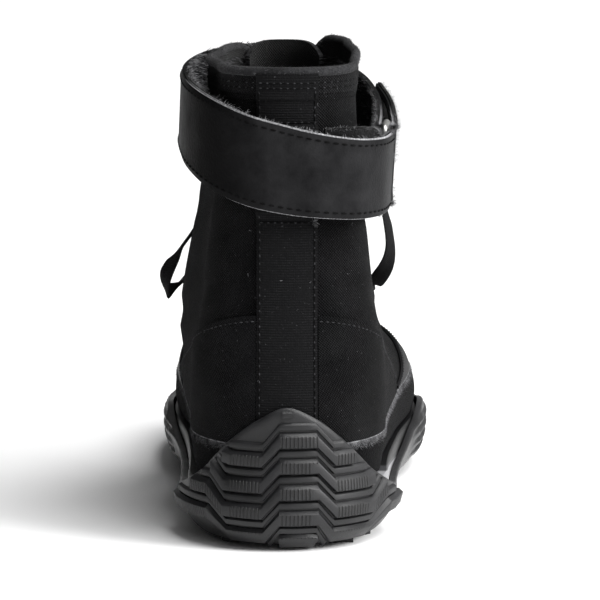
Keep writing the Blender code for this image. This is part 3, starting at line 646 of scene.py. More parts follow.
def moulded_rubber(name, shade, light, rough, ribbed):
    """Moulded rubber: grey-black, satin, with a fine mould grain and dust in patches; where ribbed, painted shade
    darkens the grooves between the ribs.
    """
    made, tree, surface = finish_named(name, {"Specular IOR Level": 0.42})
    dust = speckle(tree, 11.0, 0.3, 0.75)
    grain = speckle(tree, 0.5, 0.3, 0.7)
    colour = mixed(tree, dust, linear(shade), linear(light))
    worn = node(tree, "MapRange", {"Value": dust, "To Min": rough, "To Max": rough + 0.15})
    tree.links.new(worn.outputs[0], surface.inputs["Roughness"])
    if not ribbed:
        surfaced(tree, surface, colour, grain, 0.04)
        return made
    place = node(tree, "TexCoord", {})
    from_centre = {0: place.outputs["Object"], 1: placed(HEEL_CENTRE)}
    centred = node(tree, "VectorMath", from_centre, operation="SUBTRACT")
    split = node(tree, "SeparateXYZ", {"Vector": centred.outputs[0]})
    behind = node(tree, "Math", {0: split.outputs["Y"], 1: -1.0}, operation="MULTIPLY")
    heading = {0: split.outputs["X"], 1: behind.outputs[0]}
    bearing = node(tree, "Math", heading, operation="ARCTAN2")
    turn = node(tree, "Math", {0: bearing.outputs[0], 1: RIBS_ROUND}, operation="MULTIPLY")
    ribs = node(tree, "Math", {0: turn.outputs[0]}, operation="SINE").outputs[0]
    cut = node(tree, "MapRange", {"Value": ribs, "From Min": -0.95, "From Max": -0.2})
    # Painted shade: the grooves between the ribs go near black
    groove_shaded = mixed(tree, cut.outputs[0], linear("#070707"), colour)
    surfaced(tree, surface, groove_shaded, total(tree, cut.outputs[0], grain, 0.1), 0.6)
    return made


GRAIN_TAPE = grosgrain()
LEATHER = coated_leather()
RAW_EDGE = raw_edge()
# Suede: nearly black, a little lighter where it is brushed
SUEDE = napped("napped_suede", "#060607", "#121213", 0.8)
# Wool pile inside the strap: greyer, in coarser tufts
PILE = napped("wool_pile", "#121212", "#343435", 1.4)
# Loose fibres, paler than the cloth that they stand on because they catch the light
PILE_FIBRE = fibre("pile_fibre", "#202021", "#636365")
WOOL_FIBRE = fibre("wool_fibre", "#232324", "#9c9c9e")
FRAYED_FIBRE = fibre("frayed_leather_fibre", "#4a4a4c", "#b4b4b6")
NAP_FIBRE = fibre("suede_nap", "#343436", "#7c7c7e")
LINT = fibre("cotton_lint", "#3c3c3e", "#7c7c7e")
# Sewing thread: dull grey on the panels, black on the strap
THREAD = fibre("sewing_thread", "#1c1c1d", "#3e3e40")
BLACK_THREAD = fibre("black_sewing_thread", "#030303", "#0c0c0d")
# The sole's rubber, and the level faces of its lugs, which are ribbed
RUBBER = moulded_rubber("moulded_rubber", "#121213", "#1e1e20", 0.38, ribbed=False)
RIBBED = moulded_rubber("ribbed_moulded_rubber", "#121213", "#202022", 0.4, ribbed=True)


def plated_steel():
    """Nickel-plated wire: pale, polished, with fine scratches that vary the gloss."""
    made, tree, surface = finish_named("nickel_plated_wire", {"Metallic": 1.0})
    scratch = speckle(tree, 0.8, 0.3, 0.7)
    colour = mixed(tree, scratch, linear("#a8a8a6"), linear("#c6c6c4"))
    rough = node(tree, "MapRange", {"Value": scratch, "To Min": 0.25, "To Max": 0.42})
    tree.links.new(rough.outputs[0], surface.inputs["Roughness"])
    surfaced(tree, surface, colour, scratch, 0.02)
    return made


# The foam's pale part, painted reflection on black foam, ends at a line through this place, which
# sinks towards the toe, with a dark lip over it; it fades out over a short way past the middle, to the inner side
FOAM_LINE = Vector((0.0, 60.0, 20.5))
FOAM_LEAN = Vector((0.0, 0.1, 1.0))
FOAM_LIP = (0.0, 0.25)
FOAM_BLACK = (1.1, 1.5)
FOAM_INNER = -10.0


def foam_with_painted_reflection():
    """Moulded foam: black and satin, with pale grey painted reflection on the outer side of the waist."""
    made, tree, surface = finish_named("black_foam_painted_reflection", {
        "Roughness": 0.45, "Specular IOR Level": 0.15,
    })
    lip = past_line(tree, FOAM_LEAN, FOAM_LINE, *FOAM_LIP)
    upper_part = past_line(tree, FOAM_LEAN, FOAM_LINE, *FOAM_BLACK)
    place = node(tree, "TexCoord", {})
    split = node(tree, "SeparateXYZ", {"Vector": place.outputs["Object"]})
    inner = node(tree, "MapRange", {
        "Value": split.outputs["X"], "From Min": 0.0, "From Max": FOAM_INNER * MM,
    })
    black = node(tree, "Math", {0: upper_part, 1: inner.outputs[0]}, operation="MAXIMUM")
    # Painted reflection: pale grey on the outer side of the waist
    pale = mixed(tree, speckle(tree, 9.0, 0.3, 0.75), linear("#767678"), linear("#929294"))
    lipped = mixed(tree, lip, pale, linear("#38383a"))
    colour = mixed(tree, black.outputs[0], lipped, linear("#080809"))
    surfaced(tree, surface, colour, speckle(tree, 0.5, 0.3, 0.7), 0.03)
    return made


def painted_brass():
    """Black-painted eyelets: satin, rubbed brighter in spots."""
    made, tree, surface = finish_named("black_painted_eyelet", {
        "Roughness": 0.38, "Specular IOR Level": 0.5,
    })
    rubbed = speckle(tree, 1.6, 0.5, 0.8)
    colour = mixed(tree, rubbed, linear("#121213"), linear("#3a3a3b"))
    surfaced(tree, surface, colour, rubbed, 0.03)
    return made


STEEL = plated_steel()
FOAM = foam_with_painted_reflection()
EYELET_BLACK = painted_brass()

# Modelling helpers


def only(piece):
    """Makes a piece the one that operators act on."""
    bpy.ops.object.select_all(action="DESELECT")
    piece.select_set(True)
    bpy.context.view_layer.objects.active = piece


def shaped_grid(name, columns, rows, place):
    """A grid primitive moved onto a shape, with its lay in millimetres as its map."""
    bpy.ops.object.select_all(action="DESELECT")
    bpy.ops.mesh.primitive_grid_add(x_subdivisions=columns, y_subdivisions=rows, size=1)
    piece = bpy.context.object
    piece.name = name
    mesh = piece.data
    for vertex in mesh.vertices:
        vertex.co = placed(place(vertex.co.x + 0.5, vertex.co.y + 0.5))
    points = np.array([vertex.co for vertex in mesh.vertices]) / MM
    points = points.reshape(rows + 1, columns + 1, 3)
    lay = np.zeros((rows + 1, columns + 1, 2))
    lay[:, 1:, 0] = np.cumsum(np.linalg.norm(np.diff(points, axis=1), axis=2), axis=1)
    lay[:, :, 0] -= lay[:, columns // 2 : columns // 2 + 1, 0]
    lay[1:, :, 1] = np.cumsum(np.linalg.norm(np.diff(points, axis=0), axis=2), axis=0)
    corner = np.zeros(len(mesh.loops), dtype=int)
    mesh.loops.foreach_get("vertex_index", corner)
    mesh.uv_layers[0].name = "lay"
    mesh.uv_layers[0].data.foreach_set("uv", lay.reshape(-1, 2)[corner].ravel())
    return piece


def applied(piece, kind, **settings):
    """Adds a modifier and applies it."""
    only(piece)
    change = piece.modifiers.new(kind.lower(), kind)
    for name, value in settings.items():
        setattr(change, name, value)
    bpy.ops.object.modifier_apply(modifier=change.name)
    return piece


def welded(piece, fill=False):
    """Joins points that meet, and closes open ends where asked."""
    only(piece)
    bpy.ops.object.mode_set(mode="EDIT")
    bpy.ops.mesh.select_all(action="SELECT")
    bpy.ops.mesh.remove_doubles(threshold=0.00002)
    if fill:
        bpy.ops.mesh.fill_holes(sides=0)
        bpy.ops.mesh.select_all(action="SELECT")
        bpy.ops.mesh.normals_make_consistent(inside=False)
    bpy.ops.object.mode_set(mode="OBJECT")
    return piece


def walled(piece, thick, outwards, *stuff):
    """Gives an open sheet a wall; the stuff is its outer side, inner side and edge."""
    for finish in stuff:
        piece.data.materials.append(finish)
    last = len(stuff) - 1
    return applied(
        piece, "SOLIDIFY", thickness=thick * MM, offset=1 if outwards else -1, use_even_offset=True,
        use_quality_normals=True, material_offset=min(1, last), material_offset_rim=min(2, last),
    )


def dressed(piece, slot, *nodes, angle=40):
    """Shades a piece, lets it ride, and says which solids it stands for."""
    only(piece)
    bpy.ops.object.shade_smooth_by_angle(angle=math.radians(angle))
    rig.ride(piece, "root")
    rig.slot(piece, slot)
    if nodes:
        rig.replaces(piece, *nodes)
    return piece


def copies(name, pattern, places, stuff):
    """One mesh of many copies of a small shape; each place is a point and three axes."""
    shape = np.array([vertex.co for vertex in pattern.data.vertices])
    faces = [tuple(polygon.vertices) for polygon in pattern.data.polygons]
    bpy.data.objects.remove(pattern, do_unlink=True)
    points = []
    polygons = []
    for spot, *axes in places:
        frame_of = np.array([list(axis) for axis in axes])
        base = len(points) * len(shape)
        points.append((shape @ frame_of + np.array(spot)) * MM)
        polygons += [tuple(base + corner for corner in face) for face in faces]
    mesh = bpy.data.meshes.new(name)
    mesh.from_pydata(np.concatenate(points).tolist(), [], polygons)
    mesh.materials.append(stuff)
    piece = bpy.data.objects.new(name, mesh)
    bpy.context.scene.collection.objects.link(piece)
    return piece


def stitch_shape():
    """One stitch: a short bead of thread, 1 long, 1 wide and 1 high before it is placed."""
    bpy.ops.object.select_all(action="DESELECT")
    bpy.ops.mesh.primitive_uv_sphere_add(segments=6, ring_count=5, radius=0.5)
    return bpy.context.object


# Pale seams on the panels, black ones on the strap, and at the hem and on the tape black seams
# with short pale stitches between as painted highlight on the twist; stitches lean a little and lie this far over the
# cloth
seams = []
black_seams = []
STITCH = 2.0
SHORT_STITCH = 1.4
TWIST_OVERLAP = 0.4
THREAD_WIDE = 0.5
THREAD_HIGH = 0.5
STITCH_LEAN = 0.12
SEAM_LIFT = 0.1


def stitch_places(line, outs, pitch=3.0, long=STITCH, first=0.5, wide=THREAD_WIDE):
    """Places for stitches along a line of points, each with its outward direction.

    The first stitch lies a share of the pitch from the start.
    """
    places = []
    run = 0.0
    due = pitch * first
    for one, other, out in zip(line, line[1:], outs):
        step = (other - one).length
        while step > 0 and run + step >= due:
            spot = one.lerp(other, (due - run) / step)
            ahead = (other - one).normalized()
            up = (out - ahead * out.dot(ahead)).normalized()
            tilt = (ahead + up * STITCH_LEAN).normalized()
            aside = up.cross(tilt)
            places.append((spot + ORIGIN, tilt * long, aside * wide, up * THREAD_HIGH))
            due += pitch
        run += step
    return places


def twisted_seam(line, outs, pitch):
    """A twisted black seam: a short pale stitch, painted highlight on the twist, over each place where two black ones
    meet.
    """
    seams.extend(stitch_places(line, outs, pitch, SHORT_STITCH))
    black_seams.extend(stitch_places(line, outs, pitch, pitch + TWIST_OVERLAP, first=1.0))


def blade_shape():
    """One fibre: a narrow bent blade, 1 long before it is placed."""
    bpy.ops.object.select_all(action="DESELECT")
    bpy.ops.mesh.primitive_grid_add(x_subdivisions=2, y_subdivisions=1, size=1)
    blade = bpy.context.object
    for vertex in blade.data.vertices:
        share = vertex.co.x + 0.5
        vertex.co = (share, vertex.co.y * (1.15 - share), 0.35 * share * share)
    return blade


def fibre_places(spots, long, thick):
    """Places for fibres: each spot is a point, its lean and its outward direction."""
    places = []
    for spot, lean, out in spots:
        stray = Vector([random.uniform(-1, 1) for _ in range(3)])
        ahead = (lean + stray * 0.55).normalized()
        aside = ahead.cross(out + stray * 0.3).normalized()
        size = long * random.uniform(0.5, 1.25)
        places.append((spot + ORIGIN, ahead * size, aside * thick, aside.cross(ahead) * size))
    return places


Fibres = namedtuple("Fibres", "count long thick")


def fibre_piece(name, spots, size, stuff, slot):
    """A piece of loose fibres, one at each spot."""
    places = fibre_places(spots, size.long, size.thick)
    dressed(copies(name, blade_shape(), places, stuff), slot)


# Upper: the canvas body, its creases placed one by one

UPPER_LEVELS = (
    FEATHER, 23, 31, 38, 43.5, 48, 52, 56, 60, 64.5, THROAT, 70.5, 73, 77,
    88, 102, 118, 140, HEM - 0.6, HEM + 0.6, COLLAR,
)
# Soft troughs: ends by share of the way from heel to toe (plus is the outer side) and height
Crease = namedtuple("Crease", "from_round from_height to_round to_height wide deep")
CREASES = (
    Crease(0.06, 118, 0.26, 108, 5.0, 0.9),
    Crease(-0.08, 121, -0.30, 112, 5.0, 0.8),
    Crease(0.12, 96, 0.36, 88, 6.0, 0.8),
    Crease(-0.10, 98, -0.34, 92, 6.0, 0.8),
    Crease(0.30, 128, 0.52, 118, 6.0, 1.0),
    Crease(-0.28, 130, -0.50, 120, 6.0, 1.0),
    Crease(0.42, 84, 0.62, 70, 7.0, 1.3),
    Crease(-0.42, 84, -0.62, 70, 7.0, 1.3),
    Crease(0.60, 50, 0.82, 62, 6.0, 1.2),
    Crease(-0.60, 52, -0.82, 64, 6.0, 1.2),
    Crease(0.70, 44, 0.86, 54, 5.0, 1.0),
    Crease(-0.70, 46, -0.86, 55, 5.0, 1.0),
    Crease(0.16, 160, 0.34, 148, 5.0, 0.7),
    Crease(-0.14, 160, -0.34, 150, 5.0, 0.7),
)
ROUND_MM = 250.0
# Creases fade out above the suede band, below the hem and beside the tape
CREASES_FROM = (40, 50)
CREASES_TO = (HEM - 8, HEM)
CREASES_BESIDE = (0.03, 0.10)
# How far the collar's rim rises towards the front on the outer and the inner side
COLLAR_RISE = {1: 4.6, -1: 1.6}
CORNER_DROP = 7.0


def collar_rise(side, along):
    """How far the collar's rim stands over its height at the heel; it is rounded at the throat."""
    edge = front_along(side, COLLAR, THROAT_HALF)
    corner = 1 - ramp(along, edge - 0.02, edge + 0.09)
    return COLLAR_RISE[side] * (1 - ramp(along, 0.25, 0.9)) - CORNER_DROP * corner * corner


def creased(side, along, height):
    """How far the creases push the canvas out or in at a place."""
    place = Vector((side * (1 - along) * ROUND_MM, height))
    push = 0.0
    for crease in CREASES:
        start = Vector((crease.from_round * ROUND_MM, crease.from_height))
        run = Vector((crease.to_round * ROUND_MM, crease.to_height)) - start
        share = (place - start).dot(run) / run.length_squared
        if -0.2 < share < 1.2:
            aside = (place - start).dot(Vector((-run.y, run.x)).normalized()) / crease.wide
            fade = ramp(share, -0.2, 0.3) * (1 - ramp(share, 0.7, 1.2))
            trough = math.exp(-aside * aside) - 0.55 * math.exp(-((abs(aside) - 1.5) ** 2))
            push -= crease.deep * fade * trough
    return push


def upper_place(share, level):
    """A point of the canvas body."""
    height = between(UPPER_LEVELS, level)
    side, along = round_the_foot(share)
    edge = front_along(side, height, throat_half(height))
    if along < TOE_SHARE:
        along = edge + (TOE_SHARE - edge) * along / TOE_SHARE
    clear = ramp(height, *CREASES_FROM) * (1 - ramp(height, *CREASES_TO))
    clear *= ramp(1 - along, *CREASES_BESIDE)
    place = body(side, along, height, min(0.0, creased(side, along, height) * clear))
    place.z += collar_rise(side, along) * max(0.0, height - HEM) / (COLLAR - HEM)
    return place


upper = welded(shaped_grid("canvas_upper", 220, 110, upper_place))
walled(upper, WALL, False, CANVAS, LINING, CANVAS)
dressed(upper, "canvas", "upper")

# Collar: a rolled rim with two rows of stitches under it

RIM_RADIUS = 1.8
RIM_OUT = -WALL / 2 + 0.7
RIM_FUZZ = Fibres(5000, 0.8, 0.14)
COLLAR_STEPS = 240


def tube_round(name, points, radius, stuff, closed=False):
    """A round tube through points of the last's frame, made as a curve and then a mesh."""
    line = bpy.data.curves.new(name, "CURVE")
    line.dimensions = "3D"
    line.bevel_depth = radius * MM
    line.bevel_resolution = 4
    line.use_fill_caps = True
    spline = line.splines.new("POLY")
    spline.points.add(len(points) - 1)
    for place, point in zip(spline.points, points):
        place.co = (*placed(point), 1)
    spline.use_cyclic_u = closed
    piece = bpy.data.objects.new(name, line)
    bpy.context.scene.collection.objects.link(piece)
    only(piece)
    bpy.ops.object.convert(target="MESH")
    piece = bpy.context.object
    piece.data.materials.clear()
    piece.data.materials.append(stuff)
    return piece


def collar_line(height, out):
    """Points round the collar from one throat edge to the other, and their directions out."""
    line, outs = [], []
    for step in range(COLLAR_STEPS + 1):
        side, along = round_the_foot(step / COLLAR_STEPS)
        edge = front_along(side, height, throat_half(height))
        along = edge + (1 - edge) * along
        raised = Vector((0, 0, collar_rise(side, along) * max(0.0, height - HEM) / (COLLAR - HEM)))
        line.append(body(side, along, height, out) + raised)
        outs.append(outward(side, along, height))
    return line, outs


rim_line, _ = collar_line(COLLAR, RIM_OUT)
# The rim's canvas is painted a shade lighter as highlight along the roll
dressed(tube_round("collar_rim", rim_line, RIM_RADIUS, LIT_RIM_CANVAS), "canvas")
fuzz_spots = []
for _ in range(RIM_FUZZ.count):
    middle = between(rim_line, random.random())
    stray = Vector((random.gauss(0, 1), random.gauss(0, 1), random.gauss(0.4, 1))).normalized()
    fuzz_spots.append((middle + stray * (RIM_RADIUS - 0.1), stray, stray.orthogonal()))
fibre_piece("rim_fuzz", fuzz_spots, RIM_FUZZ, PILE_FIBRE, "canvas")

HEM_LOW = COLLAR - 8.0
HEM_THICK = 0.3
HEM_PITCH = 2.7
COLLAR_SEAMS = (COLLAR - 4.0, COLLAR - 5.9)


def hem_place(share, level):
    """The hem's turned-over cloth, just proud of the canvas below the rim."""
    height = HEM_LOW + (COLLAR - HEM_LOW) * level
    side, along = round_the_foot(share)
    edge = front_along(side, height, throat_half(height)) + 0.004
    along = edge + (1 - edge) * along
    place = body(side, along, height, 0.05)
    place.z += collar_rise(side, along) * (height - HEM) / (COLLAR - HEM)
    return place


# The hem's canvas is painted a little lighter as highlight
hem = welded(shaped_grid("collar_hem", 200, 10, hem_place))
walled(hem, HEM_THICK, True, LIT_HEM_CANVAS)
dressed(hem, "canvas")
for height in COLLAR_SEAMS:
    twisted_seam(*collar_line(height, HEM_THICK + SEAM_LIFT), HEM_PITCH)

# Tongue

TONGUE_IN = WALL + 1.1
TONGUE_THICK = 2.0
TONGUE_TOP = COLLAR + 4
TONGUE_LEVELS = (61, 64.5, THROAT, 73, 77, 88, 102, 118, 140, HEM, TONGUE_TOP)
TONGUE_WIDER = 8.0
TONGUE_ROUND = 6.0


def tongue_place(share, level):
    """A point of the tongue's outer side."""
    height = between(TONGUE_LEVELS, level)
    half = THROAT_HALF + TONGUE_WIDER
    across = 1 - 2 * share
    place = front(across * half, height, -TONGUE_IN)
    place.z -= TONGUE_ROUND * across**4 * ramp(height, HEM, TONGUE_TOP)
    return place


tongue = shaped_grid("canvas_tongue", 32, 80, tongue_place)
# The tongue's edge takes the rim's canvas, painted lighter as highlight
walled(tongue, TONGUE_THICK, False, CANVAS, LINING, LIT_RIM_CANVAS)
dressed(tongue, "canvas", "tongue")

# Outsole, midsole and insole

# The height of the outsole's edge, by place along the sole, and how far its foot lies in
Edge = namedtuple("Edge", "along outer inner")
EDGE = (
    Edge(0.00, 34.0, 34.0),
    Edge(0.11, 28.0, 28.0),
    Edge(0.22, 21.0, 22.0),
    Edge(0.31, 26.0, 25.0),
    Edge(0.40, 21.0, 19.0),
    Edge(0.50, 15.5, 16.0),
    Edge(0.62, 15.5, 16.5),
    Edge(0.73, 19.0, 19.5),
    Edge(0.82, 27.5, 27.5),
    Edge(0.86, 34.5, 34.5),
    Edge(0.90, 42.0, 42.0),
    Edge(0.95, 50.0, 49.5),
    Edge(1.00, 54.0, 54.0),
)
Tuck = namedtuple("Tuck", "y inset flare")
TUCK = (
    Tuck(0, 11.5, 1.0), Tuck(45, 14.5, 1.8), Tuck(115, 18, 0.3), Tuck(185, 12, 0), Tuck(235, 13, 0),
    Tuck(284, 19, 0),
)


def edge_height(side, along):
    """The height of the outsole's edge."""
    rows = [row.outer if side > 0 else row.inner for row in EDGE]
    return smooth([row.along for row in EDGE], rows, along, flat=True)


def tuck(y, height):
    """How far the rounded foot of the sole lies in from its widest line, less its flare."""
    down = min(1.0, max(0.0, 1 - height / BOWL))
    places = [row.y for row in TUCK]
    inset = smooth(places, [row.inset for row in TUCK], y)
    flare = smooth(places, [row.flare for row in TUCK], y)
    return inset * (1 - math.sqrt(1 - down * down)) - flare * (1 - ramp(height, 14, 34))


def sole(side, along, height, out):
    """A point of the sole's wall, so far out of the last."""
    level = max(height, WIDEST)
    x, y = plan(side, along, level)
    ahead = plan(side, along - 0.004, level)
    behind = plan(side, along + 0.004, level)
    across = Vector((ahead[1] - behind[1], behind[0] - ahead[0], 0)).normalized() * side
    place = Vector((x, y, 0)) + across * (out - tuck(y, height))
    place.z = height + lift(place.y, height)
    return place


def rubber_out(height):
    """How far out of the last the rubber lies; it thins towards the peak."""
    thin = ramp(height, WIDEST, 46)
    return OUTSOLE_OUT + (HEEL_PEAK_OUT - OUTSOLE_OUT) * thin


def keel(share, height, out):
    """A point on the sole's middle line, level with a place on its side."""
    side, along = round_the_foot(share)
    middle = (sole(side, along, height, out) + sole(-side, along, height, out)) / 2
    middle.z = height + lift(middle.y, height)
    return middle


def inner_keel(share, height, out):
    """A point on the upper's middle line, level with a place on its side."""
    side, along = round_the_foot(share)
    middle = (body(side, along, height, out) + body(-side, along, height, out)) / 2
    middle.z = height + lift(middle.y, height)
    return middle


SOLE_COLUMNS = 168
# Rows of the outsole: keel, outside from foot to a rounded edge, inside down to the floor, keel
OUTSIDE = (*[step / 32 for step in range(31)], 0.965, 0.99, 1.0)
OUTSIDE_DRAWN_IN = (*[0.0] * 31, 0.15, 0.5, 1.0)
INSIDE = (COLLAR, MIDSOLE_TOP + 5, MIDSOLE_TOP, 20.0, BOWL, 14.5, 12.0, OUTSOLE_FLOOR)
OUTSOLE_ROWS = len(OUTSIDE) + len(INSIDE) + 2
# Steps on the flaps beside the ball of the foot: heights, where they begin and end along the
# sole, how far they stand out, and how their edges fall away
FLAP_STEPS = (9.0, 13.0, 17.0, 21.0)
FLAP_FROM = (0.20, 0.25)
FLAP_TO = (0.38, 0.44)
FLAP_STANDS = 1.3
FLAP_EDGE = (0.7, 1.3)


def flap_step(along, height):
    """How far the flap's stepped ribs stand out."""
    here = ramp(along, *FLAP_FROM) * (1 - ramp(along, *FLAP_TO))
    if here == 0.0:
        return 0.0
    near = min(abs(height - step) for step in FLAP_STEPS)
    return FLAP_STANDS * here * (1 - ramp(near, *FLAP_EDGE))


def outsole_place(share, level):
    """A point of the outsole, row by row from keel to keel."""
    row = round(level * (OUTSOLE_ROWS - 1))
    side, along = round_the_foot(share)
    top = edge_height(side, along)
    if row == 0:
        return keel(share, LUG, OUTSOLE_OUT)
    if row == OUTSOLE_ROWS - 1:
        return keel(share, OUTSOLE_FLOOR, OUTSOLE_IN)
    if row <= len(OUTSIDE):
        height = LUG + (top - LUG) * OUTSIDE[row - 1]
        out = rubber_out(height) - OUTSIDE_DRAWN_IN[row - 1] + flap_step(along, height)
        return sole(side, along, height, out)
    height = min(top, INSIDE[row - 1 - len(OUTSIDE)])
    return sole(side, along, height, OUTSOLE_IN)


outsole = shaped_grid("rubber_outsole", SOLE_COLUMNS, OUTSOLE_ROWS - 1, outsole_place)
welded(outsole, fill=True)
outsole.data.materials.append(RUBBER)
outsole.data.materials.append(RIBBED)

MIDSOLE_OUTSIDE = (MIDSOLE_LOW, 10.0, 12.0, 14.5, BOWL, 20.0, 21.8, MIDSOLE_TOP)
MIDSOLE_INSIDE = (MIDSOLE_TOP, 19.0, MIDSOLE_FLOOR)
MIDSOLE_ROWS = len(MIDSOLE_OUTSIDE) + len(MIDSOLE_INSIDE) + 2
MIDSOLE_EDGE = 0.5


def midsole_place(share, level):
    """A point of the midsole, row by row from keel to keel."""
    row = round(level * (MIDSOLE_ROWS - 1))
    side, along = round_the_foot(share)
    if row == 0:
        return keel(share, MIDSOLE_LOW, MIDSOLE_OUT)
    if row == MIDSOLE_ROWS - 1:
        return inner_keel(share, MIDSOLE_FLOOR, GAP)
    if row <= len(MIDSOLE_OUTSIDE):
        drawn_in = MIDSOLE_EDGE if row == len(MIDSOLE_OUTSIDE) else 0.0
        return sole(side, along, MIDSOLE_OUTSIDE[row - 1], MIDSOLE_OUT - drawn_in)
    height = MIDSOLE_INSIDE[row - 1 - len(MIDSOLE_OUTSIDE)]
    place = body(side, along, height, GAP)
    place.z = height + lift(place.y, height)
    return place


midsole = shaped_grid("foam_midsole", SOLE_COLUMNS, MIDSOLE_ROWS - 1, midsole_place)
welded(midsole, fill=True)
midsole.data.materials.append(FOAM)
dressed(midsole, "grey_rubber", "midsole")

INSOLE_OUT = -WALL - 1.0
INSOLE_TOP = FEATHER + INSOLE_THICK
# Rows of the insole from keel to keel: height, and how far in from its edge
INSOLE_ROWS = (
    (FEATHER, 0), (FEATHER, 0), (FEATHER + 2.6, 0),
    (INSOLE_TOP, 0.8), (INSOLE_TOP, 9.0), (INSOLE_TOP, 0),
)
INSOLE_KEEL = len(INSOLE_ROWS) - 1


def insole_place(share, level):
    """A point of the insole."""
    row = round(level * INSOLE_KEEL)
    height, inset = INSOLE_ROWS[row]
    if row in (0, INSOLE_KEEL):
        return inner_keel(share, height, INSOLE_OUT)
    side, along = round_the_foot(share)
    place = body(side, along, height, INSOLE_OUT - inset)
    place.z = height + lift(place.y, height)
    return place


insole = welded(shaped_grid("felt_insole", 120, INSOLE_KEEL, insole_place), fill=True)
insole.data.materials.append(FOOTBED)
dressed(insole, "footbed", "insole")

# Lugs: zigzag bars up the back of the heel and across the bottom, joined to the outsole

WAVE = 37.7
WAVE_RISE = 7.3
WAVE_LEVEL = 13.0
WAVE_MIDDLE = 4.0
WAVE_TURNS = 6
LUG_TALL = 5.6
LUG_OUT = 2.6
LUG_ROOT = 1.2
LUG_CLEAR = 0.8
LUG_OFF_FLOOR = 0.5
HEEL_STEP = 0.5
HEEL_ROWS = (9.4, 19.1, 28.8, 38.5)
HEEL_REACH = 39.5
BOTTOM_PITCH = 15.0
BOTTOM_TALL = 7.6
BOTTOM_FIRST = 23.0
BOTTOM_LAST = 262.0
BOTTOM_IN = 1.5
ARCH_FROM = 92.0
ARCH_TO = 136.0
# A bar's section: place across it, as a share of its height, and out, as a share of its own
BAR_SECTION = (
    (-0.5, None), (-0.5, 0.86), (-0.45, 1.0), (0.18, 1.0), (0.27, 0.92), (0.5, 0.3), (0.5, None),
)


def wave(across):
    """How far the zigzag lies above or below its middle line."""
    from_crest = abs((across - WAVE_MIDDLE + WAVE / 2) % WAVE - WAVE / 2)
    slope = WAVE / 2 - WAVE_LEVEL
    share = min(1.0, max(0.0, (from_crest - WAVE_LEVEL / 2) / slope))
    return WAVE_RISE * (0.5 - share)


def zigzag_stops(low, high, parts):
    """Where a zigzag bar gets a section: its ends, its corners and parts of its levels."""
    stops = {low, high}
    for turn in range(-WAVE_TURNS, WAVE_TURNS + 1):
        crest = WAVE_MIDDLE + turn * WAVE / 2
        for part in range(parts + 1):
            corner = crest - WAVE_LEVEL / 2 + WAVE_LEVEL * part / parts
            if low + LUG_CLEAR < corner < high - LUG_CLEAR:
                stops.add(corner)
    return sorted(stops)


def heel_along(across, height):
    """How far along the sole lies so far across from the middle of the heel."""
    half = section_at(max(height, WIDEST)).heel + OUTSOLE_OUT
    turn = math.asin(min(1.0, abs(across) / half))
    return 1 - (1 - HEEL_SHARE) * turn * 2 / math.pi


def heel_wall(across, height, out):
    """A point of the heel's rubber, by its distance across from the middle."""
    side = side_of(across)
    return sole(side, heel_along(across, height), height, rubber_out(height) + out)


def heel_clear(across, row, tall):
    """Whether a lug lies under the rubber's edge and over the floor at that place."""
    middle = row + wave(across)
    top = middle + tall / 2
    side = side_of(across)
    under_edge = edge_height(side, heel_along(across, top)) > top + LUG_CLEAR
    return under_edge and middle - tall / 2 > LUG_OFF_FLOOR


def heel_span(row, tall):
    """How far a heel lug reaches to each side."""
    reach = [0.0, 0.0]
    for number, side in enumerate((-1, 1)):
        while reach[number] < HEEL_REACH and heel_clear(side * (reach[number] + HEEL_STEP), row, tall):
            reach[number] += HEEL_STEP
    return -reach[0], reach[1]


FOOT_STEPS = 80
FOOTLINE = {
    side: [sole(side, step / FOOT_STEPS, LUG, OUTSOLE_OUT) for step in range(FOOT_STEPS + 1)]
    for side in (1, -1)
}


def bottom_half(side, y):
    """Half the width of the sole's foot at a place along the shoe."""
    return abs(min(FOOTLINE[side], key=lambda point: abs(point.y - y)).x)


def is_level(across):
    """Whether the zigzag runs level there."""
    return abs(abs(wave(across)) - WAVE_RISE / 2) < 0.001


def lug_bar(name, stops, corner, ribbed):
    """A closed zigzag bar; its level faces are ribbed where asked."""
    sides = len(BAR_SECTION)

    def place(share, level):
        across = stops[round(share * (len(stops) - 1))]
        return corner(across, *BAR_SECTION[round(level * sides) % sides])

    bar = welded(shaped_grid(name, len(stops) - 1, sides, place), fill=True)
    bar.data.materials.append(RUBBER)
    bar.data.materials.append(RIBBED)
    if ribbed:
        for polygon in bar.data.polygons:
            across = polygon.center.x / MM - ORIGIN.x
            faces_out = abs(polygon.normal.z) < 0.45
            polygon.material_index = 1 if is_level(across) and faces_out else 0
    return bar


def heel_bar(row, tall, stands, ribbed):
    """A zigzag bar round the heel at a row's height."""

    def corner(across, up, out):
        height = row + wave(across) + up * tall
        return heel_wall(across, height, -LUG_ROOT if out is None else out * stands)

    return lug_bar("heel_lug", zigzag_stops(*heel_span(row, tall), parts=6), corner, ribbed)


def bottom_bar(row):
    """A zigzag bar across the bottom at a row's place along the shoe."""

    def corner(across, up, out):
        y = row + wave(across) + up * BOTTOM_TALL
        height = LUG + LUG_ROOT if out is None else LUG * (1 - out)
        return Vector((across, y, height + lift(y, 0)))

    low = -min(bottom_half(-1, row - WAVE_RISE), bottom_half(-1, row + WAVE_RISE)) + BOTTOM_IN
    high = min(bottom_half(1, row - WAVE_RISE), bottom_half(1, row + WAVE_RISE)) - BOTTOM_IN
    return lug_bar("bottom_lug", zigzag_stops(low, high, parts=2), corner, False)


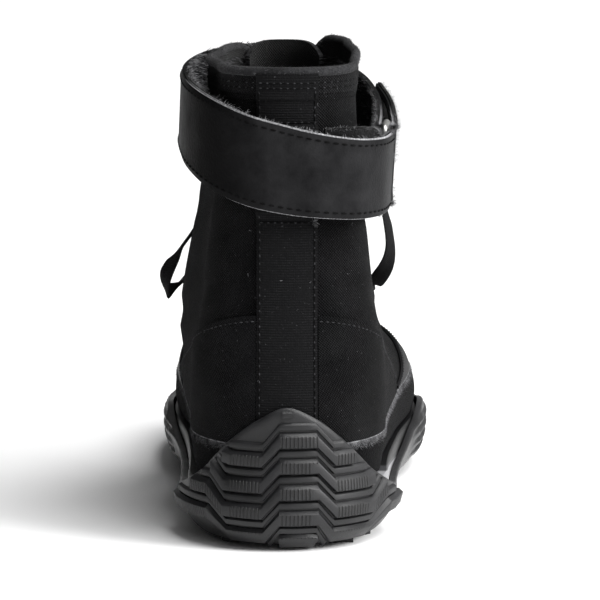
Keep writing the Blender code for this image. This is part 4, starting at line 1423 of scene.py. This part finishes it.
# A smooth step runs under each row of lugs; one more lug ends at the floor, two steps at the peak
STEP_TALL = 2.6
STEP_STANDS = 1.3
STEP_BELOW = 4.7
LOWEST_ROW = 0.5
PEAK_STEPS = (43.6, 48.0)
lugs = [heel_bar(LOWEST_ROW, LUG_TALL, LUG_OUT, True)]
for row in PEAK_STEPS:
    lugs.append(heel_bar(row, STEP_TALL, STEP_STANDS, False))
for row in HEEL_ROWS:
    lugs.append(heel_bar(row, LUG_TALL, LUG_OUT, True))
    lugs.append(heel_bar(row - STEP_BELOW, STEP_TALL, STEP_STANDS, False))
bottom_count = int((BOTTOM_LAST - BOTTOM_FIRST) / BOTTOM_PITCH) + 1
for number in range(bottom_count):
    place_along = BOTTOM_FIRST + number * BOTTOM_PITCH
    if not ARCH_FROM < place_along < ARCH_TO:
        lugs.append(bottom_bar(place_along))
bpy.ops.object.select_all(action="DESELECT")
for bar in lugs:
    bar.select_set(True)
bpy.context.view_layer.objects.active = lugs[0]
bpy.ops.object.join()
tread = bpy.context.object
applied(outsole, "BOOLEAN", object=tread, operation="UNION", solver="EXACT", use_self=True)
bpy.data.objects.remove(tread, do_unlink=True)
dressed(outsole, "rubber", "outsole", angle=32)

# Suede band round the foot, with a pale nap along its top edge

BAND_LEVELS = (BAND_LOW, 31, BAND_TOP)
BAND_NAP = Fibres(20000, 0.9, 0.17)
NAP_SPREAD = 1.2
NAP_LOWEST = 4.5
CUT_EDGE = 0.35
CUT_EDGE_STEPS = 320


def band_place(share, level):
    """A point of the band's inner side."""
    return body(*round_the_foot(share), between(BAND_LEVELS, level), BAND_IN)


band = welded(shaped_grid("suede_band", 200, 8, band_place))
walled(band, BAND_OUT - BAND_IN, True, SUEDE)
dressed(band, "suede", "rand_band")

nap_spots = []
for _ in range(BAND_NAP.count):
    side, along = round_the_foot(random.random())
    height = BAND_TOP - min(NAP_LOWEST, abs(random.gauss(0, NAP_SPREAD)))
    out = outward(side, along, height)
    nap_lean = Vector((0, 0, -1)) + out * 0.7
    nap_spots.append((body(side, along, height, BAND_OUT - 0.1), nap_lean, out))
fibre_piece("suede_nap", nap_spots, BAND_NAP, NAP_FIBRE, "suede")
band_edge = []
for step in range(CUT_EDGE_STEPS):
    band_edge.append(body(*round_the_foot(step / CUT_EDGE_STEPS), BAND_TOP, BAND_OUT - 0.3))
dressed(tube_round("suede_cut_edge", band_edge, CUT_EDGE, NAP_FIBRE, closed=True), "suede")

# Heel counters, toe overlay and eyestays

PANEL_LOW = BAND_TOP + GAP
PANEL_THICK = PANEL_OUT - PANEL_IN
SEAM_OUT = PANEL_OUT + SEAM_LIFT
SEAM_STEPS = 120
COUNTER_TOP = 86.5
COUNTER_ROUND = 1.5
COUNTER_END = 0.47
COUNTER_CUT = 0.97
COUNTER_SEAM = 0.955
COUNTER_PITCH = 2.3


def counter_spot(side, ahead, level):
    """The side, place along and height of a point of a counter."""
    arc = (1 - ahead**COUNTER_ROUND) ** (1 / COUNTER_ROUND)
    height = PANEL_LOW + (COUNTER_TOP - PANEL_LOW) * arc * level
    start = back_along(TAPE_WIDTH / 2 + GAP, height)
    return side, start + (COUNTER_END - start) * ahead, height


def counter_place(side):
    """Gives the points of the counter on a side."""

    def place(share, level):
        ahead = COUNTER_CUT * (share if side > 0 else 1 - share)
        return body(*counter_spot(side, ahead, level), PANEL_IN)

    return place


for name, side in (("counter_outer", 1), ("counter_inner", -1)):
    panel = shaped_grid("canvas_" + name, 60, 36, counter_place(side))
    dressed(walled(panel, PANEL_THICK, True, CANVAS), "canvas", name)
    spots = []
    for step in range(SEAM_STEPS + 1):
        spots.append(counter_spot(side, COUNTER_CUT * step / SEAM_STEPS, COUNTER_SEAM))
    line = [body(*spot, SEAM_OUT) for spot in spots]
    seams += stitch_places(line, [outward(*spot) for spot in spots], COUNTER_PITCH, SHORT_STITCH)

TOE_END = 0.46
TOE_SEAM = 0.93
TOE_STEPS = 100
# Shares of the way from the toe to the overlay's end, and the heights of its top there
TOE_TOPS = ((0.0, 0.45, 0.75, 1.0), (59.0, 53.5, 46.5, 40.6))


def toe_spot(way, level):
    """The side, place along and height of a point of the toe overlay."""
    side = side_of(way)
    top = smooth(*TOE_TOPS, abs(way), flat=True)
    return side, abs(way) * TOE_END, PANEL_LOW + (top - PANEL_LOW) * level


def toe_place(share, level):
    """A point of the toe overlay's inner side."""
    return body(*toe_spot(1 - 2 * share, level), PANEL_IN)


toe = shaped_grid("leather_toe_overlay", 120, 20, toe_place)
dressed(walled(toe, PANEL_THICK, True, LEATHER), "leather", "toe_overlay")
spots = [toe_spot(step / TOE_STEPS - 1, TOE_SEAM) for step in range(2 * TOE_STEPS + 1)]
line = [body(*spot, SEAM_OUT) for spot in spots]
seams += stitch_places(line, [outward(*spot) for spot in spots])

EYESTAY_WIDE = 17.0
EYESTAY_SEAM_IN = 2.0
EYESTAY_BACK = 0.4
EYESTAY_LEVELS = (71.5, 73, 77, 88, 102, 118, 140, HEM - 1)


def eyestay_place(side):
    """Gives the points of the eyestay on a side."""

    def place(share, level):
        height = between(EYESTAY_LEVELS, level)
        from_edge = EYESTAY_WIDE * ((1 - share) if side > 0 else share)
        return front(side * (throat_half(height) + EYESTAY_BACK + from_edge), height, PANEL_IN)

    return place


for name, side in (("eyestay_outer", 1), ("eyestay_inner", -1)):
    strip = shaped_grid("leather_" + name, 16, 84, eyestay_place(side))
    dressed(walled(strip, PANEL_THICK, True, LEATHER), "leather", name)
    for inset in (EYESTAY_SEAM_IN, EYESTAY_WIDE - EYESTAY_SEAM_IN):
        line, outs = [], []
        for step in range(SEAM_STEPS + 1):
            height = between(EYESTAY_LEVELS, step / SEAM_STEPS)
            across = side * (throat_half(height) + EYESTAY_BACK + inset)
            line.append(front(across, height, SEAM_OUT))
            outs.append(front_outward(across, height))
        seams += stitch_places(line, outs)

# Eyelets


EYELET_STEPS = 60


def eyelet_levels():
    """Heights that space the eyelets evenly along the throat."""
    rise = EYELET_LAST - EYELET_FIRST
    heights = [EYELET_FIRST + rise * step / EYELET_STEPS for step in range(EYELET_STEPS + 1)]
    run = distances([front(THROAT_HALF + EYELET_IN, height) for height in heights])
    return [smooth(run, heights, run[-1] * step / (PAIRS - 1)) for step in range(PAIRS)]


LEVELS = eyelet_levels()
# An eyelet's section: radius and height over the eyestay
EYELET_FORM = (
    (2.0, 0.55), (2.25, 0.85), (2.8, 1.0), (3.4, 0.85), (3.9, 0.4), (4.2, 0.0), (2.6, 0.0),
    (2.6, -3.0), (2.0, -3.0),
)
EYELET_COLUMNS = 24


def eyelet_place(side, height):
    """Gives the points of an eyelet on a side at a height."""
    along = front_along(side, height, throat_half(height) + EYELET_IN)
    middle = body(side, along, height, PANEL_OUT + 2 * GAP)
    turned = outward(side, along, height).to_track_quat("Z", "Y")

    def place(share, level):
        sides = len(EYELET_FORM)
        radius, high = EYELET_FORM[round(level * sides) % sides]
        angle = 2 * math.pi * share
        return middle + turned @ Vector((radius * math.cos(angle), radius * math.sin(angle), high))

    return place


for number, height in enumerate(LEVELS, 1):
    for name, side in ((f"eyelet_outer_{number}", 1), (f"eyelet_inner_{number}", -1)):
        place = eyelet_place(side, height)
        eyelet = shaped_grid("painted_" + name, EYELET_COLUMNS, len(EYELET_FORM), place)
        welded(eyelet, fill=True)
        eyelet.data.materials.append(EYELET_BLACK)
        dressed(eyelet, "metal", name)

# Back tape, with a seam down each edge and one across each end of the keeper

KEEPER_RISE = 4
TAPE_LEVELS = (
    40, 52, 66, 82, 100, KEEPER_LOW, KEEPER_LOW + KEEPER_RISE, 131, 147, KEEPER_HIGH - KEEPER_RISE,
    KEEPER_HIGH, HEM - 0.6, HEM + 0.6, COLLAR - 0.5,
)
TAPE_SEAM_IN = 1.1
TAPE_SEAM_LOW = 44
TAPE_SEAM_HIGH = COLLAR - 6.5
TAPE_PITCH = 2.9
CROSS_PITCH = 2.5
CROSS_STEPS = 20


def tape_stand(height):
    """How far the keeper stands off the shaft."""
    risen = ramp(height, KEEPER_LOW, KEEPER_LOW + KEEPER_RISE)
    return KEEPER_OUT * (risen - ramp(height, KEEPER_HIGH - KEEPER_RISE, KEEPER_HIGH))


def tape_place(share, level):
    """A point of the tape's inner side."""
    height = between(TAPE_LEVELS, level)
    return back((share - 0.5) * TAPE_WIDTH, height, GAP + tape_stand(height))


tape = shaped_grid("ribbed_back_tape", 24, 150, tape_place)
dressed(walled(tape, TAPE_OUT - GAP, True, GRAIN_TAPE), "webbing", "back_tape")
for across in (TAPE_SEAM_IN - TAPE_WIDTH / 2, TAPE_WIDTH / 2 - TAPE_SEAM_IN):
    line, outs = [], []
    for step in range(SEAM_STEPS + 1):
        height = TAPE_SEAM_LOW + (TAPE_SEAM_HIGH - TAPE_SEAM_LOW) * step / SEAM_STEPS
        line.append(back(across, height, TAPE_OUT + tape_stand(height) + SEAM_LIFT))
        outs.append(outward(side_of(across), back_along(across, height), height))
    twisted_seam(line, outs, TAPE_PITCH)
for height in (KEEPER_LOW - 0.5, KEEPER_HIGH + 0.5, *COLLAR_SEAMS):
    spread = [(step / CROSS_STEPS - 0.5) * (TAPE_WIDTH - 1) for step in range(CROSS_STEPS + 1)]
    line = [back(across, height, TAPE_OUT + SEAM_LIFT) for across in spread]
    twisted_seam(line, [Vector((0, -1, 0))] * len(line), CROSS_PITCH)

# Ankle strap: leather outside, pile inside, pale where it is cut

# Where the strap slopes, it reaches further down than its width
Fold = namedtuple("Fold", "x y top lean drop", defaults=(STRAP_WIDTH,))
REAR_BAR = Fold(36.0, 44.0, 150.5, -1.8)
FRONT_BAR = Fold(37.0, 55.5, 151.5, -1.8)
TURN_RADIUS = RING_WIRE / 2 + GAP + STRAP_THICK / 2
TURN_STEPS = 6
STRAP_MIDDLE = Vector((0, 65, 0))


def fold_round(ring_bar, first, last):
    """Rows for the strap's turn round a bar, between two headings in degrees."""
    rows = []
    for step in range(TURN_STEPS + 1):
        angle = math.radians(first + (last - first) * step / TURN_STEPS)
        x = ring_bar.x + TURN_RADIUS * math.cos(angle)
        y = ring_bar.y + TURN_RADIUS * math.sin(angle)
        rows.append(ring_bar._replace(x=x, y=y))
    return rows


STRAP = (
    Fold(13.5, 8.6, 155.5, 0.0),
    Fold(23.4, 13.8, 155.5, -0.5),
    Fold(30.6, 28.0, 154.0, -1.0),
    *fold_round(REAR_BAR, 160, -20),
    Fold(34.8, 23.0, 150.5, -1.5),
    Fold(25.2, 9.4, 151.5, -0.5, 29.2),
    Fold(12.0, 4.9, 153.8, 0.0, 30.5),
    Fold(0.0, 5.8, 156.5, 0.0, 32.0),
    Fold(-14.0, 8.0, 160.3, 0.3, 33.0),
    Fold(-27.0, 18.0, 165.5, 0.5, 33.5),
    Fold(-35.3, 34.0, 169.3, 1.0, 31.5),
    Fold(-39.0, 55.0, 171.6, 1.0, 29.2),
    Fold(-38.8, 80.0, 173.8, 1.5),
    Fold(-33.0, 104.0, 175.5, 1.5),
    Fold(-18.5, 124.0, 177.0, 1.0),
    Fold(0.0, 131.0, 176.0, 1.0),
    Fold(16.0, 127.5, 172.0, 1.0),
    Fold(27.5, 114.0, 167.0, 0.0),
    Fold(33.6, 93.5, 161.0, -0.5),
    Fold(34.8, 73.0, 155.5, -1.5),
    *fold_round(FRONT_BAR, 180, 360),
    Fold(39.8, 73.0, 154.5, -1.5),
    Fold(38.2, 92.0, 159.0, -0.5),
    Fold(34.4, 107.5, 163.5, 0.0),
)


def leaned(row, low):
    """A strap row's top point, or its low point, moved out or in by its lean."""
    point = Vector((row.x, row.y, row.top))
    if low:
        away = Vector((row.x, row.y, 0)) - STRAP_MIDDLE
        point += away.normalized() * row.lean - Vector((0, 0, row.drop))
    return point


STRAP_PARTS = 8
STRAP_TOP = rounded([leaned(row, False) for row in STRAP], STRAP_PARTS)
STRAP_FOOT = rounded([leaned(row, True) for row in STRAP], STRAP_PARTS)
STRAP_STEPS = len(STRAP_TOP) - 1
STRAP_EDGE = 1.0
STRAP_EDGE_THIN = 0.4


def strap_spot(share, level):
    """A point in the strap's middle, by share of its length and of its width."""
    return between(STRAP_TOP, share).lerp(between(STRAP_FOOT, share), 1 - level)


def strap_out(share, level):
    """The direction out of the strap's leather side."""
    step = 0.5 / STRAP_STEPS
    ahead = strap_spot(min(1, share + step), level) - strap_spot(max(0, share - step), level)
    return Vector((0, 0, 1)).cross(ahead).normalized()


def strap_layer(name, outside, thick, low, high, *stuff):
    """One layer of the strap; its sheet runs from the strap's end to its start, to face out."""

    def place(backwards_share, level):
        share = 1 - backwards_share
        edge = min(level, 1 - level) * STRAP_WIDTH
        thinner = STRAP_EDGE_THIN * (1 - ramp(edge, 0, STRAP_EDGE))
        up = low + (high - low) * level
        return strap_spot(share, up) + strap_out(share, up) * (outside - thinner)

    return walled(shaped_grid(name, STRAP_STEPS, 18, place), thick, False, *stuff)


# The pale backing stands a little past the leather's cut edges and carries the pile
STRAP_FACE = STRAP_THICK / 2
LEATHER_THICK = 1.1
BACKING_OUT = STRAP_FACE - LEATHER_THICK + 0.3
BACKING_THICK = 1.4
BACKING_LOW = -0.010
BACKING_HIGH = 1.018
STRAP_SEAMS = (0.07, 0.93)
STRAP_PITCH = 3.4
STRAP_STITCH = 2.5
STRAP_THREAD = 0.9
strap = strap_layer(
    "ankle_strap_leather", STRAP_FACE, LEATHER_THICK, 0.0, 1.0, LEATHER, PILE, RAW_EDGE,
)
dressed(strap, "leather", "ankle_strap")
lining = strap_layer(
    "ankle_strap_pile", BACKING_OUT, BACKING_THICK, BACKING_LOW, BACKING_HIGH, RAW_EDGE, PILE,
)
dressed(lining, "leather")
for level in STRAP_SEAMS:
    shares = [step / (3 * STRAP_STEPS) for step in range(3 * STRAP_STEPS + 1)]
    outs = [strap_out(share, level) for share in shares]
    line = []
    for share, out in zip(shares, outs):
        line.append(strap_spot(share, level) + out * (STRAP_FACE + SEAM_LIFT))
    black_seams += stitch_places(line, outs, STRAP_PITCH, STRAP_STITCH, wide=STRAP_THREAD)

# The pile is worn thin at the back, this far from the heel, and stands in curls where the strap
# goes round the inner ankle; near the ring its edge is frayed
PILE_THINS = 28.0
PILE_LEFT = 12
PILE_BANDS = ((0.96, 1.015), (-0.008, 0.03), (0.5, 1.0))
STRAP_PILE = Fibres(21000, 2.1, 0.22)
CURLS = (0.455, 0.64)
STRAP_WOOL = Fibres(7000, 2.2, 0.42)
FRAY_FROM, FRAY_TO = 34.0, 72.0
FRAY_OUT = 24.0
FRAYED_EDGE = Fibres(1600, 1.5, 0.26)
pile_spots = []
for number in range(STRAP_PILE.count):
    share = random.random()
    level = [random.uniform(*band_of_pile) for band_of_pile in PILE_BANDS][number % 3]
    out = strap_out(share, level)
    spot = strap_spot(share, level) - out * random.uniform(0.3, STRAP_FACE)
    if spot.y < PILE_THINS and number % PILE_LEFT:
        continue
    pile_spots.append((spot, Vector((0, 0, 0.9 if level > 0.5 else -0.9)) - out, -out))
fibre_piece("strap_pile", pile_spots, STRAP_PILE, WOOL_FIBRE, "leather")

curl_spots = []
for _ in range(STRAP_WOOL.count):
    share = random.uniform(*CURLS)
    level = random.uniform(0.5, 1.03)
    out = strap_out(share, level)
    along_strap = out.cross(Vector((0, 0, 1))) * random.uniform(-1, 1)
    spot = strap_spot(share, level) - out * STRAP_THICK / 2
    lean = along_strap + Vector((0, 0, random.uniform(-0.5, 1.2))) - out * 0.8
    curl_spots.append((spot, lean, -out))
fibre_piece("strap_wool", curl_spots, STRAP_WOOL, WOOL_FIBRE, "leather")

frayed_spots = []
while len(frayed_spots) < FRAYED_EDGE.count:
    share = random.uniform(0.05, 1)
    level = random.uniform(0.95, 1.02)
    out = strap_out(share, level)
    spot = strap_spot(share, level) + out * random.uniform(-0.5, 0.4) * STRAP_THICK
    if spot.x > FRAY_OUT and FRAY_FROM < spot.y < FRAY_TO:
        frayed_spots.append((spot, Vector((0, -0.3, 1)), out))
fibre_piece("frayed_edge", frayed_spots, FRAYED_EDGE, FRAYED_FIBRE, "leather")

# The lining's pile shows over the collar, and thins out further down
LINING_PILE = Fibres(7000, 2.0, 0.2)
LINING_ROUND = (0.06, 0.94)
LINING_SPREAD = 9
LINING_BELOW = 1.5
lining_spots = []
for _ in range(LINING_PILE.count):
    side, along = round_the_foot(random.uniform(*LINING_ROUND))
    height = COLLAR - abs(random.gauss(0, LINING_SPREAD)) - LINING_BELOW
    out = outward(side, along, height)
    lining_spots.append((body(side, along, height, -WALL), Vector((0, 0, 0.6)) - out, -out))
fibre_piece("lining_pile", lining_spots, LINING_PILE, PILE_FIBRE, "canvas")

# Ring

RING_OVER = RING_WIRE / 2 + 0.8
RING_CORNER = 1.8
RING_ROUND = 6


def ring_points():
    """Points round the ring's wire, with rounded corners past both ends of the bars."""
    tops = [leaned(bar_row, False) for bar_row in (REAR_BAR, FRONT_BAR)]
    feet = [leaned(bar_row, True) for bar_row in (REAR_BAR, FRONT_BAR)]
    longer = [(top - foot).normalized() * RING_OVER for top, foot in zip(tops, feet)]
    corners_of_ring = [
        tops[0] + longer[0], tops[1] + longer[1], feet[1] - longer[1], feet[0] - longer[0],
    ]
    points = []
    for number, corner in enumerate(corners_of_ring):
        start = corner + (corners_of_ring[number - 1] - corner).normalized() * RING_CORNER
        end = corner + (corners_of_ring[(number + 1) % 4] - corner).normalized() * RING_CORNER
        for step in range(RING_ROUND + 1):
            t = step / RING_ROUND
            points.append(start * (1 - t) ** 2 + corner * 2 * t * (1 - t) + end * t * t)
    return points


ring = tube_round("wire_ring", ring_points(), RING_WIRE / 2, STEEL, closed=True)
dressed(ring, "metal", "strap_ring")

# Laces

LACE_OUT = PANEL_OUT + 0.9 + LACE_THICK / 2 + 5 * GAP
LACE_UNDER = -1.2
LACE_DIPS = 3.2
LACE_SIDES = 14
STRAND_STEPS = 40
STRAND_SHORT = 1.5
STRAND_PAST = 3.4
STRAND_OVER = 0.8


def flat_lace(name, line, outs, widths, closed=False):
    """Flat lace along a line of points; widths are shares of its own width."""
    ups = []
    asides = []
    for number, out in enumerate(outs):
        ahead = (line[min(len(line) - 1, number + 1)] - line[max(0, number - 1)]).normalized()
        aside = out.cross(ahead).normalized()
        asides.append(aside)
        ups.append(ahead.cross(aside))

    def place(share, level):
        number = round(share * (len(line) - 1))
        angle = 2 * math.pi * level
        flat = math.copysign(abs(math.cos(angle)) ** 0.6, math.cos(angle))
        high = math.copysign(abs(math.sin(angle)) ** 0.8, math.sin(angle))
        wide = asides[number] * flat * LACE_WIDTH / 2 * widths[number]
        return line[number] + wide + ups[number] * high * LACE_THICK / 2

    lace = welded(shaped_grid(name, len(line) - 1, LACE_SIDES, place), fill=not closed)
    lace.data.materials.append(LACE)
    return lace


def strand(name, side, low, high):
    """One strand from inside an eyelet up and over to under the throat's other edge."""
    line, outs, widths = [], [], []
    for step in range(STRAND_STEPS + 1):
        t = step / STRAND_STEPS
        height = low + (high - low - STRAND_SHORT) * t
        edge = throat_half(height)
        across = side * ((edge + EYELET_IN) * (1 - t) - (edge - STRAND_PAST) * t)
        out = LACE_OUT + (LACE_UNDER - LACE_OUT) * ramp(t, 0.3, 1.0)
        out += STRAND_OVER * math.sin(math.pi * t) if side > 0 else 0.0
        out -= LACE_DIPS * (1 - ramp(t, 0.0, 0.09))
        line.append(front(across, height, out))
        outs.append(front_outward(across, height))
        widths.append(0.5 + 0.5 * ramp(t, 0.0, 0.16))
    return flat_lace(name, line, outs, widths)


for number, (low_pair, high_pair) in enumerate(zip(LEVELS, LEVELS[1:]), 1):
    one = strand(f"lace_strand_outer_{number}", 1, low_pair, high_pair)
    other = strand(f"lace_strand_inner_{number}", -1, low_pair, high_pair)
    dressed(one, "lace_cord", f"lace_crossing_{number}")
    dressed(other, "lace_cord")

# The top strand between the last pair of eyelets, and the knot over its middle
KNOT_LEVEL = 131.0
TOP_RISE = 2.4
KNOT_STANDS = 4.0
KNOT_RADIUS = 3.0
KNOT_WIDE = 1.15
KNOT_STEPS = 40
line, outs, widths = [], [], []
for step in range(2 * STRAND_STEPS + 1):
    t = step / STRAND_STEPS - 1
    height = KNOT_LEVEL + (EYELET_LAST - KNOT_LEVEL) * abs(t)
    across = t * (throat_half(height) + EYELET_IN)
    out = LACE_OUT + TOP_RISE * (1 - t * t) - LACE_DIPS * ramp(abs(t), 0.9, 1.0)
    line.append(front(across, height, out))
    outs.append(front_outward(across, height))
    widths.append(1 - 0.5 * ramp(abs(t), 0.82, 1.0))
dressed(flat_lace("lace_top_strand", line, outs, widths), "lace_cord", "lace_top")

KNOT = front(0, KNOT_LEVEL, LACE_OUT + TOP_RISE + LACE_THICK / 2 + KNOT_STANDS)
KNOT_OUT = front_outward(0, KNOT_LEVEL)
line, outs = [], []
for step in range(KNOT_STEPS + 1):
    angle = 2 * math.pi * step / KNOT_STEPS
    spoke = Vector((0, 0, 1)) * math.cos(angle) + KNOT_OUT * math.sin(angle)
    line.append(KNOT + spoke * KNOT_RADIUS)
    outs.append(spoke)
knot = flat_lace("lace_bow_knot", line, outs, [KNOT_WIDE] * len(line), closed=True)
dressed(knot, "lace_cord", "lace_knot")

# Routes as in the solids; twist turns the lace's flat side from outwards, 0, to backwards, 1
Route = namedtuple("Route", "along height out twist", defaults=(0.0,))
LOOP_OUTER = (
    Route(0.055, 131, 10.5), Route(0.12, 130, 9.5), Route(0.20, 127, 8.5, 0.2),
    Route(0.265, 120, 9.5, 0.4), Route(0.305, 110, 11.8, 0.3), Route(0.32, 101, 12.6, 0.4),
    Route(0.322, 94.5, 12.0, 0.6), Route(0.32, 89, 10.3, 0.8), Route(0.312, 84.8, 7.6, 1.0),
    Route(0.295, 82, 5.0, 0.9), Route(0.26, 81.5, 3.8, 0.5), Route(0.21, 86, 4.2, 0.2),
    Route(0.165, 96, 6.0), Route(0.125, 108, 8.5), Route(0.09, 119, 9.8), Route(0.05, 127, 10.5),
)
LOOP_INNER = (
    Route(0.05, 131, 10.5), Route(0.085, 124, 9.5), Route(0.12, 115, 8.8), Route(0.165, 105.5, 8.5),
    Route(0.225, 97.5, 9.5, 0.3), Route(0.285, 90.5, 12.0, 0.5), Route(0.31, 83.5, 13.5, 0.6),
    Route(0.295, 77.5, 12.5, 0.6), Route(0.25, 75.5, 9.5, 0.5), Route(0.205, 80, 8.0, 0.2),
    Route(0.165, 92, 8.0), Route(0.12, 106, 9.3), Route(0.08, 118, 10.0), Route(0.05, 127, 10.5),
)
END_OUTER = (
    Route(0.025, 125, 11.0), Route(0.055, 116, 9.5), Route(0.08, 105, 9.0), Route(0.095, 95, 9.0),
    Route(0.10, 86, 9.0), Route(0.10, 79, 9.0),
)
END_INNER = (
    Route(0.025, 124, 11.0), Route(0.06, 114, 9.5), Route(0.085, 103, 9.0), Route(0.105, 92, 9.0),
    Route(0.12, 82, 9.0), Route(0.125, 76, 8.5),
)
ROUTE_PARTS = 8
AGLET = 11.0
AGLET_PAST = 1.0
AGLET_RADIUS = 1.9


def free_lace(name, side, route):
    """A free run of lace along its route, and its points in metres."""
    line = rounded([body(side, row.along, row.height, row.out) for row in route], ROUTE_PARTS)
    facing = []
    for row in route:
        out = outward(side, row.along, row.height)
        facing.append(out.lerp(Vector((0, -1, 0)), row.twist))
    directions = [between(facing, step / (len(line) - 1)) for step in range(len(line))]
    lace = flat_lace(name, line, directions, [1.0] * len(line))
    return lace, [placed(point) for point in line]


def path_length(path):
    """The length of a run of lace."""
    return distances(path)[-1]


for name, side, route, held in (
    ("lace_loop_outer", 1, LOOP_OUTER, [knot]), ("lace_loop_inner", -1, LOOP_INNER, []),
):
    lace, path = free_lace("flat_" + name, side, route)
    dressed(lace, "lace_cord", name)
    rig.cord(lace, exit=path[0], length=path_length(path), diameter=LACE_WIDTH * MM, far_end="object",
            stiffness="limp", lay="hanging", path=path, with_pieces=held)

for name, side, route in (("lace_end_outer", 1, END_OUTER), ("lace_end_inner", -1, END_INNER)):
    lace, path = free_lace("flat_" + name, side, route)
    dressed(lace, "lace_cord", name)
    tip = path[-1] / MM - ORIGIN
    ahead = (path[-1] - path[-2]).normalized()
    aglet_ends = [tip - ahead * AGLET, tip + ahead * AGLET_PAST]
    aglet = tube_round(name.replace("end", "aglet"), aglet_ends, AGLET_RADIUS, EYELET_BLACK)
    dressed(aglet, "lace_cord")
    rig.cord(lace, exit=path[0], length=path_length(path), diameter=LACE_WIDTH * MM, far_end="fitting",
            stiffness="limp", lay="hanging", path=path, with_pieces=[aglet])

# Lint caught on the cloth behind, and the frayed end of the keeper's seam
CAUGHT_LINT = Fibres(34, 1.9, 0.2)
LINT_REACH = 30
LINT_LOW = 60
SEAM_END_THREADS = 70
lint_spots = []
for _ in range(CAUGHT_LINT.count):
    across = random.uniform(-LINT_REACH, LINT_REACH)
    height = random.uniform(LINT_LOW, COLLAR - 2)
    side = side_of(across)
    along = back_along(across, height)
    stands = TAPE_OUT + tape_stand(height) if abs(across) < TAPE_WIDTH / 2 else 0.1
    out = outward(side, along, height)
    aside = Vector((random.uniform(-1, 1), 0, random.uniform(-1, 1)))
    lint_spots.append((body(side, along, height, stands), aside + out * 0.2, out))
frayed = back(TAPE_WIDTH / 2 - TAPE_SEAM_IN, KEEPER_LOW - 0.5, TAPE_OUT + SEAM_LIFT)
for _ in range(SEAM_END_THREADS):
    stray = Vector((random.uniform(-0.3, 0.5), -0.4, random.uniform(-1.4, 0.6)))
    lint_spots.append((frayed, stray, Vector((0, -1, 0))))
fibre_piece("lint", lint_spots, CAUGHT_LINT, LINT, "canvas")

dressed(copies("pale_stitches", stitch_shape(), seams, THREAD), "canvas")
dressed(copies("black_stitches", stitch_shape(), black_seams, BLACK_THREAD), "canvas")

# Floor, light and camera

FLOOR_SIZE = 8.0
bpy.ops.object.select_all(action="DESELECT")
bpy.ops.mesh.primitive_plane_add(size=FLOOR_SIZE)
floor = bpy.context.object
floor.name = "studio_floor"
# Matt white paper
paper, _, _ = finish_named("white_paper", {
    "Base Color": linear("#fafafa"), "Roughness": 0.9, "Specular IOR Level": 0.1,
})
floor.data.materials.append(paper)
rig.stage(floor)

# The studio is white straight behind the shoe, bright to the right and dim to the left
world = bpy.data.worlds.new("studio")
world.use_nodes = True
studio = world.node_tree
heading = node(studio, "TexCoord", {})
split = node(studio, "SeparateXYZ", {"Vector": heading.outputs["Generated"]})
behind = node(studio, "MapRange", {"Value": split.outputs["Y"], "From Min": 0.97, "From Max": 0.99})
beside = node(studio, "MapRange", {
    "Value": split.outputs["X"], "From Min": -0.5, "From Max": 0.7, "To Min": 0.04, "To Max": 0.6,
})
glow = node(studio, "Math", {0: behind.outputs[0], 1: beside.outputs[0]}, operation="MAXIMUM")
backdrop = studio.nodes["Background"]
backdrop.inputs["Color"].default_value = linear("#ffffff")
studio.links.new(glow.outputs[0], backdrop.inputs["Strength"])
bpy.context.scene.world = world
bpy.context.scene.view_settings.view_transform = "Standard"

Lamp = namedtuple("Lamp", "name place size power")
LAMPS = (
    Lamp("key_softbox", (1.3, -0.7, 0.8), 0.7, 27.0),
    Lamp("fill_softbox", (0.5, -1.6, 0.9), 1.0, 2.5),
)
AIM = Vector((0.0, -0.05, 0.08))
for lamp in LAMPS:
    light = bpy.data.lights.new(lamp.name, "AREA")
    light.shape = "DISK"
    light.size = lamp.size
    light.energy = lamp.power
    holder = bpy.data.objects.new(lamp.name, light)
    holder.matrix_world = Matrix.Translation(lamp.place) @ (
        (AIM - Vector(lamp.place)).to_track_quat("-Z", "Y").to_matrix().to_4x4()
    )
    bpy.context.scene.collection.objects.link(holder)

# A broad overhead light, even over the whole floor
overhead = bpy.data.lights.new("overhead_light", "SUN")
overhead.energy = 3.0
overhead.angle = math.radians(40)
overhead_holder = bpy.data.objects.new("overhead_light", overhead)
overhead_holder.rotation_euler = (math.radians(12), math.radians(22), 0)
bpy.context.scene.collection.objects.link(overhead_holder)

# The photograph looks at the heel from a little above; its scale sets the lens
PIXELS = 600
PIXELS_PER_MM = 2.73
DISTANCE = 1600.0
AZIMUTH = 0.4
ELEVATION = 8.0
LOOK_AT = Vector((4.8, 0.0, 93.5))
camera_data = bpy.data.cameras.new("photo_camera")
camera_data.sensor_width = 36.0
camera_data.lens = PIXELS_PER_MM * DISTANCE * camera_data.sensor_width / PIXELS
camera = bpy.data.objects.new("photo_camera", camera_data)
turn, tilt = math.radians(AZIMUTH), math.radians(ELEVATION)
backwards = Vector((math.sin(turn) * math.cos(tilt), -math.cos(turn) * math.cos(tilt), math.sin(tilt)))
camera.location = placed(LOOK_AT + backwards * DISTANCE)
camera.rotation_euler = (-backwards).to_track_quat("-Z", "Y").to_euler()
bpy.context.scene.collection.objects.link(camera)
bpy.context.scene.camera = camera

visual_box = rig.bounds()
with open("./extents.json", "w") as sizes:
    json.dump({"cad": [list(corner) for corner in cad_box], "visual": [list(corner) for corner in visual_box]}, sizes)
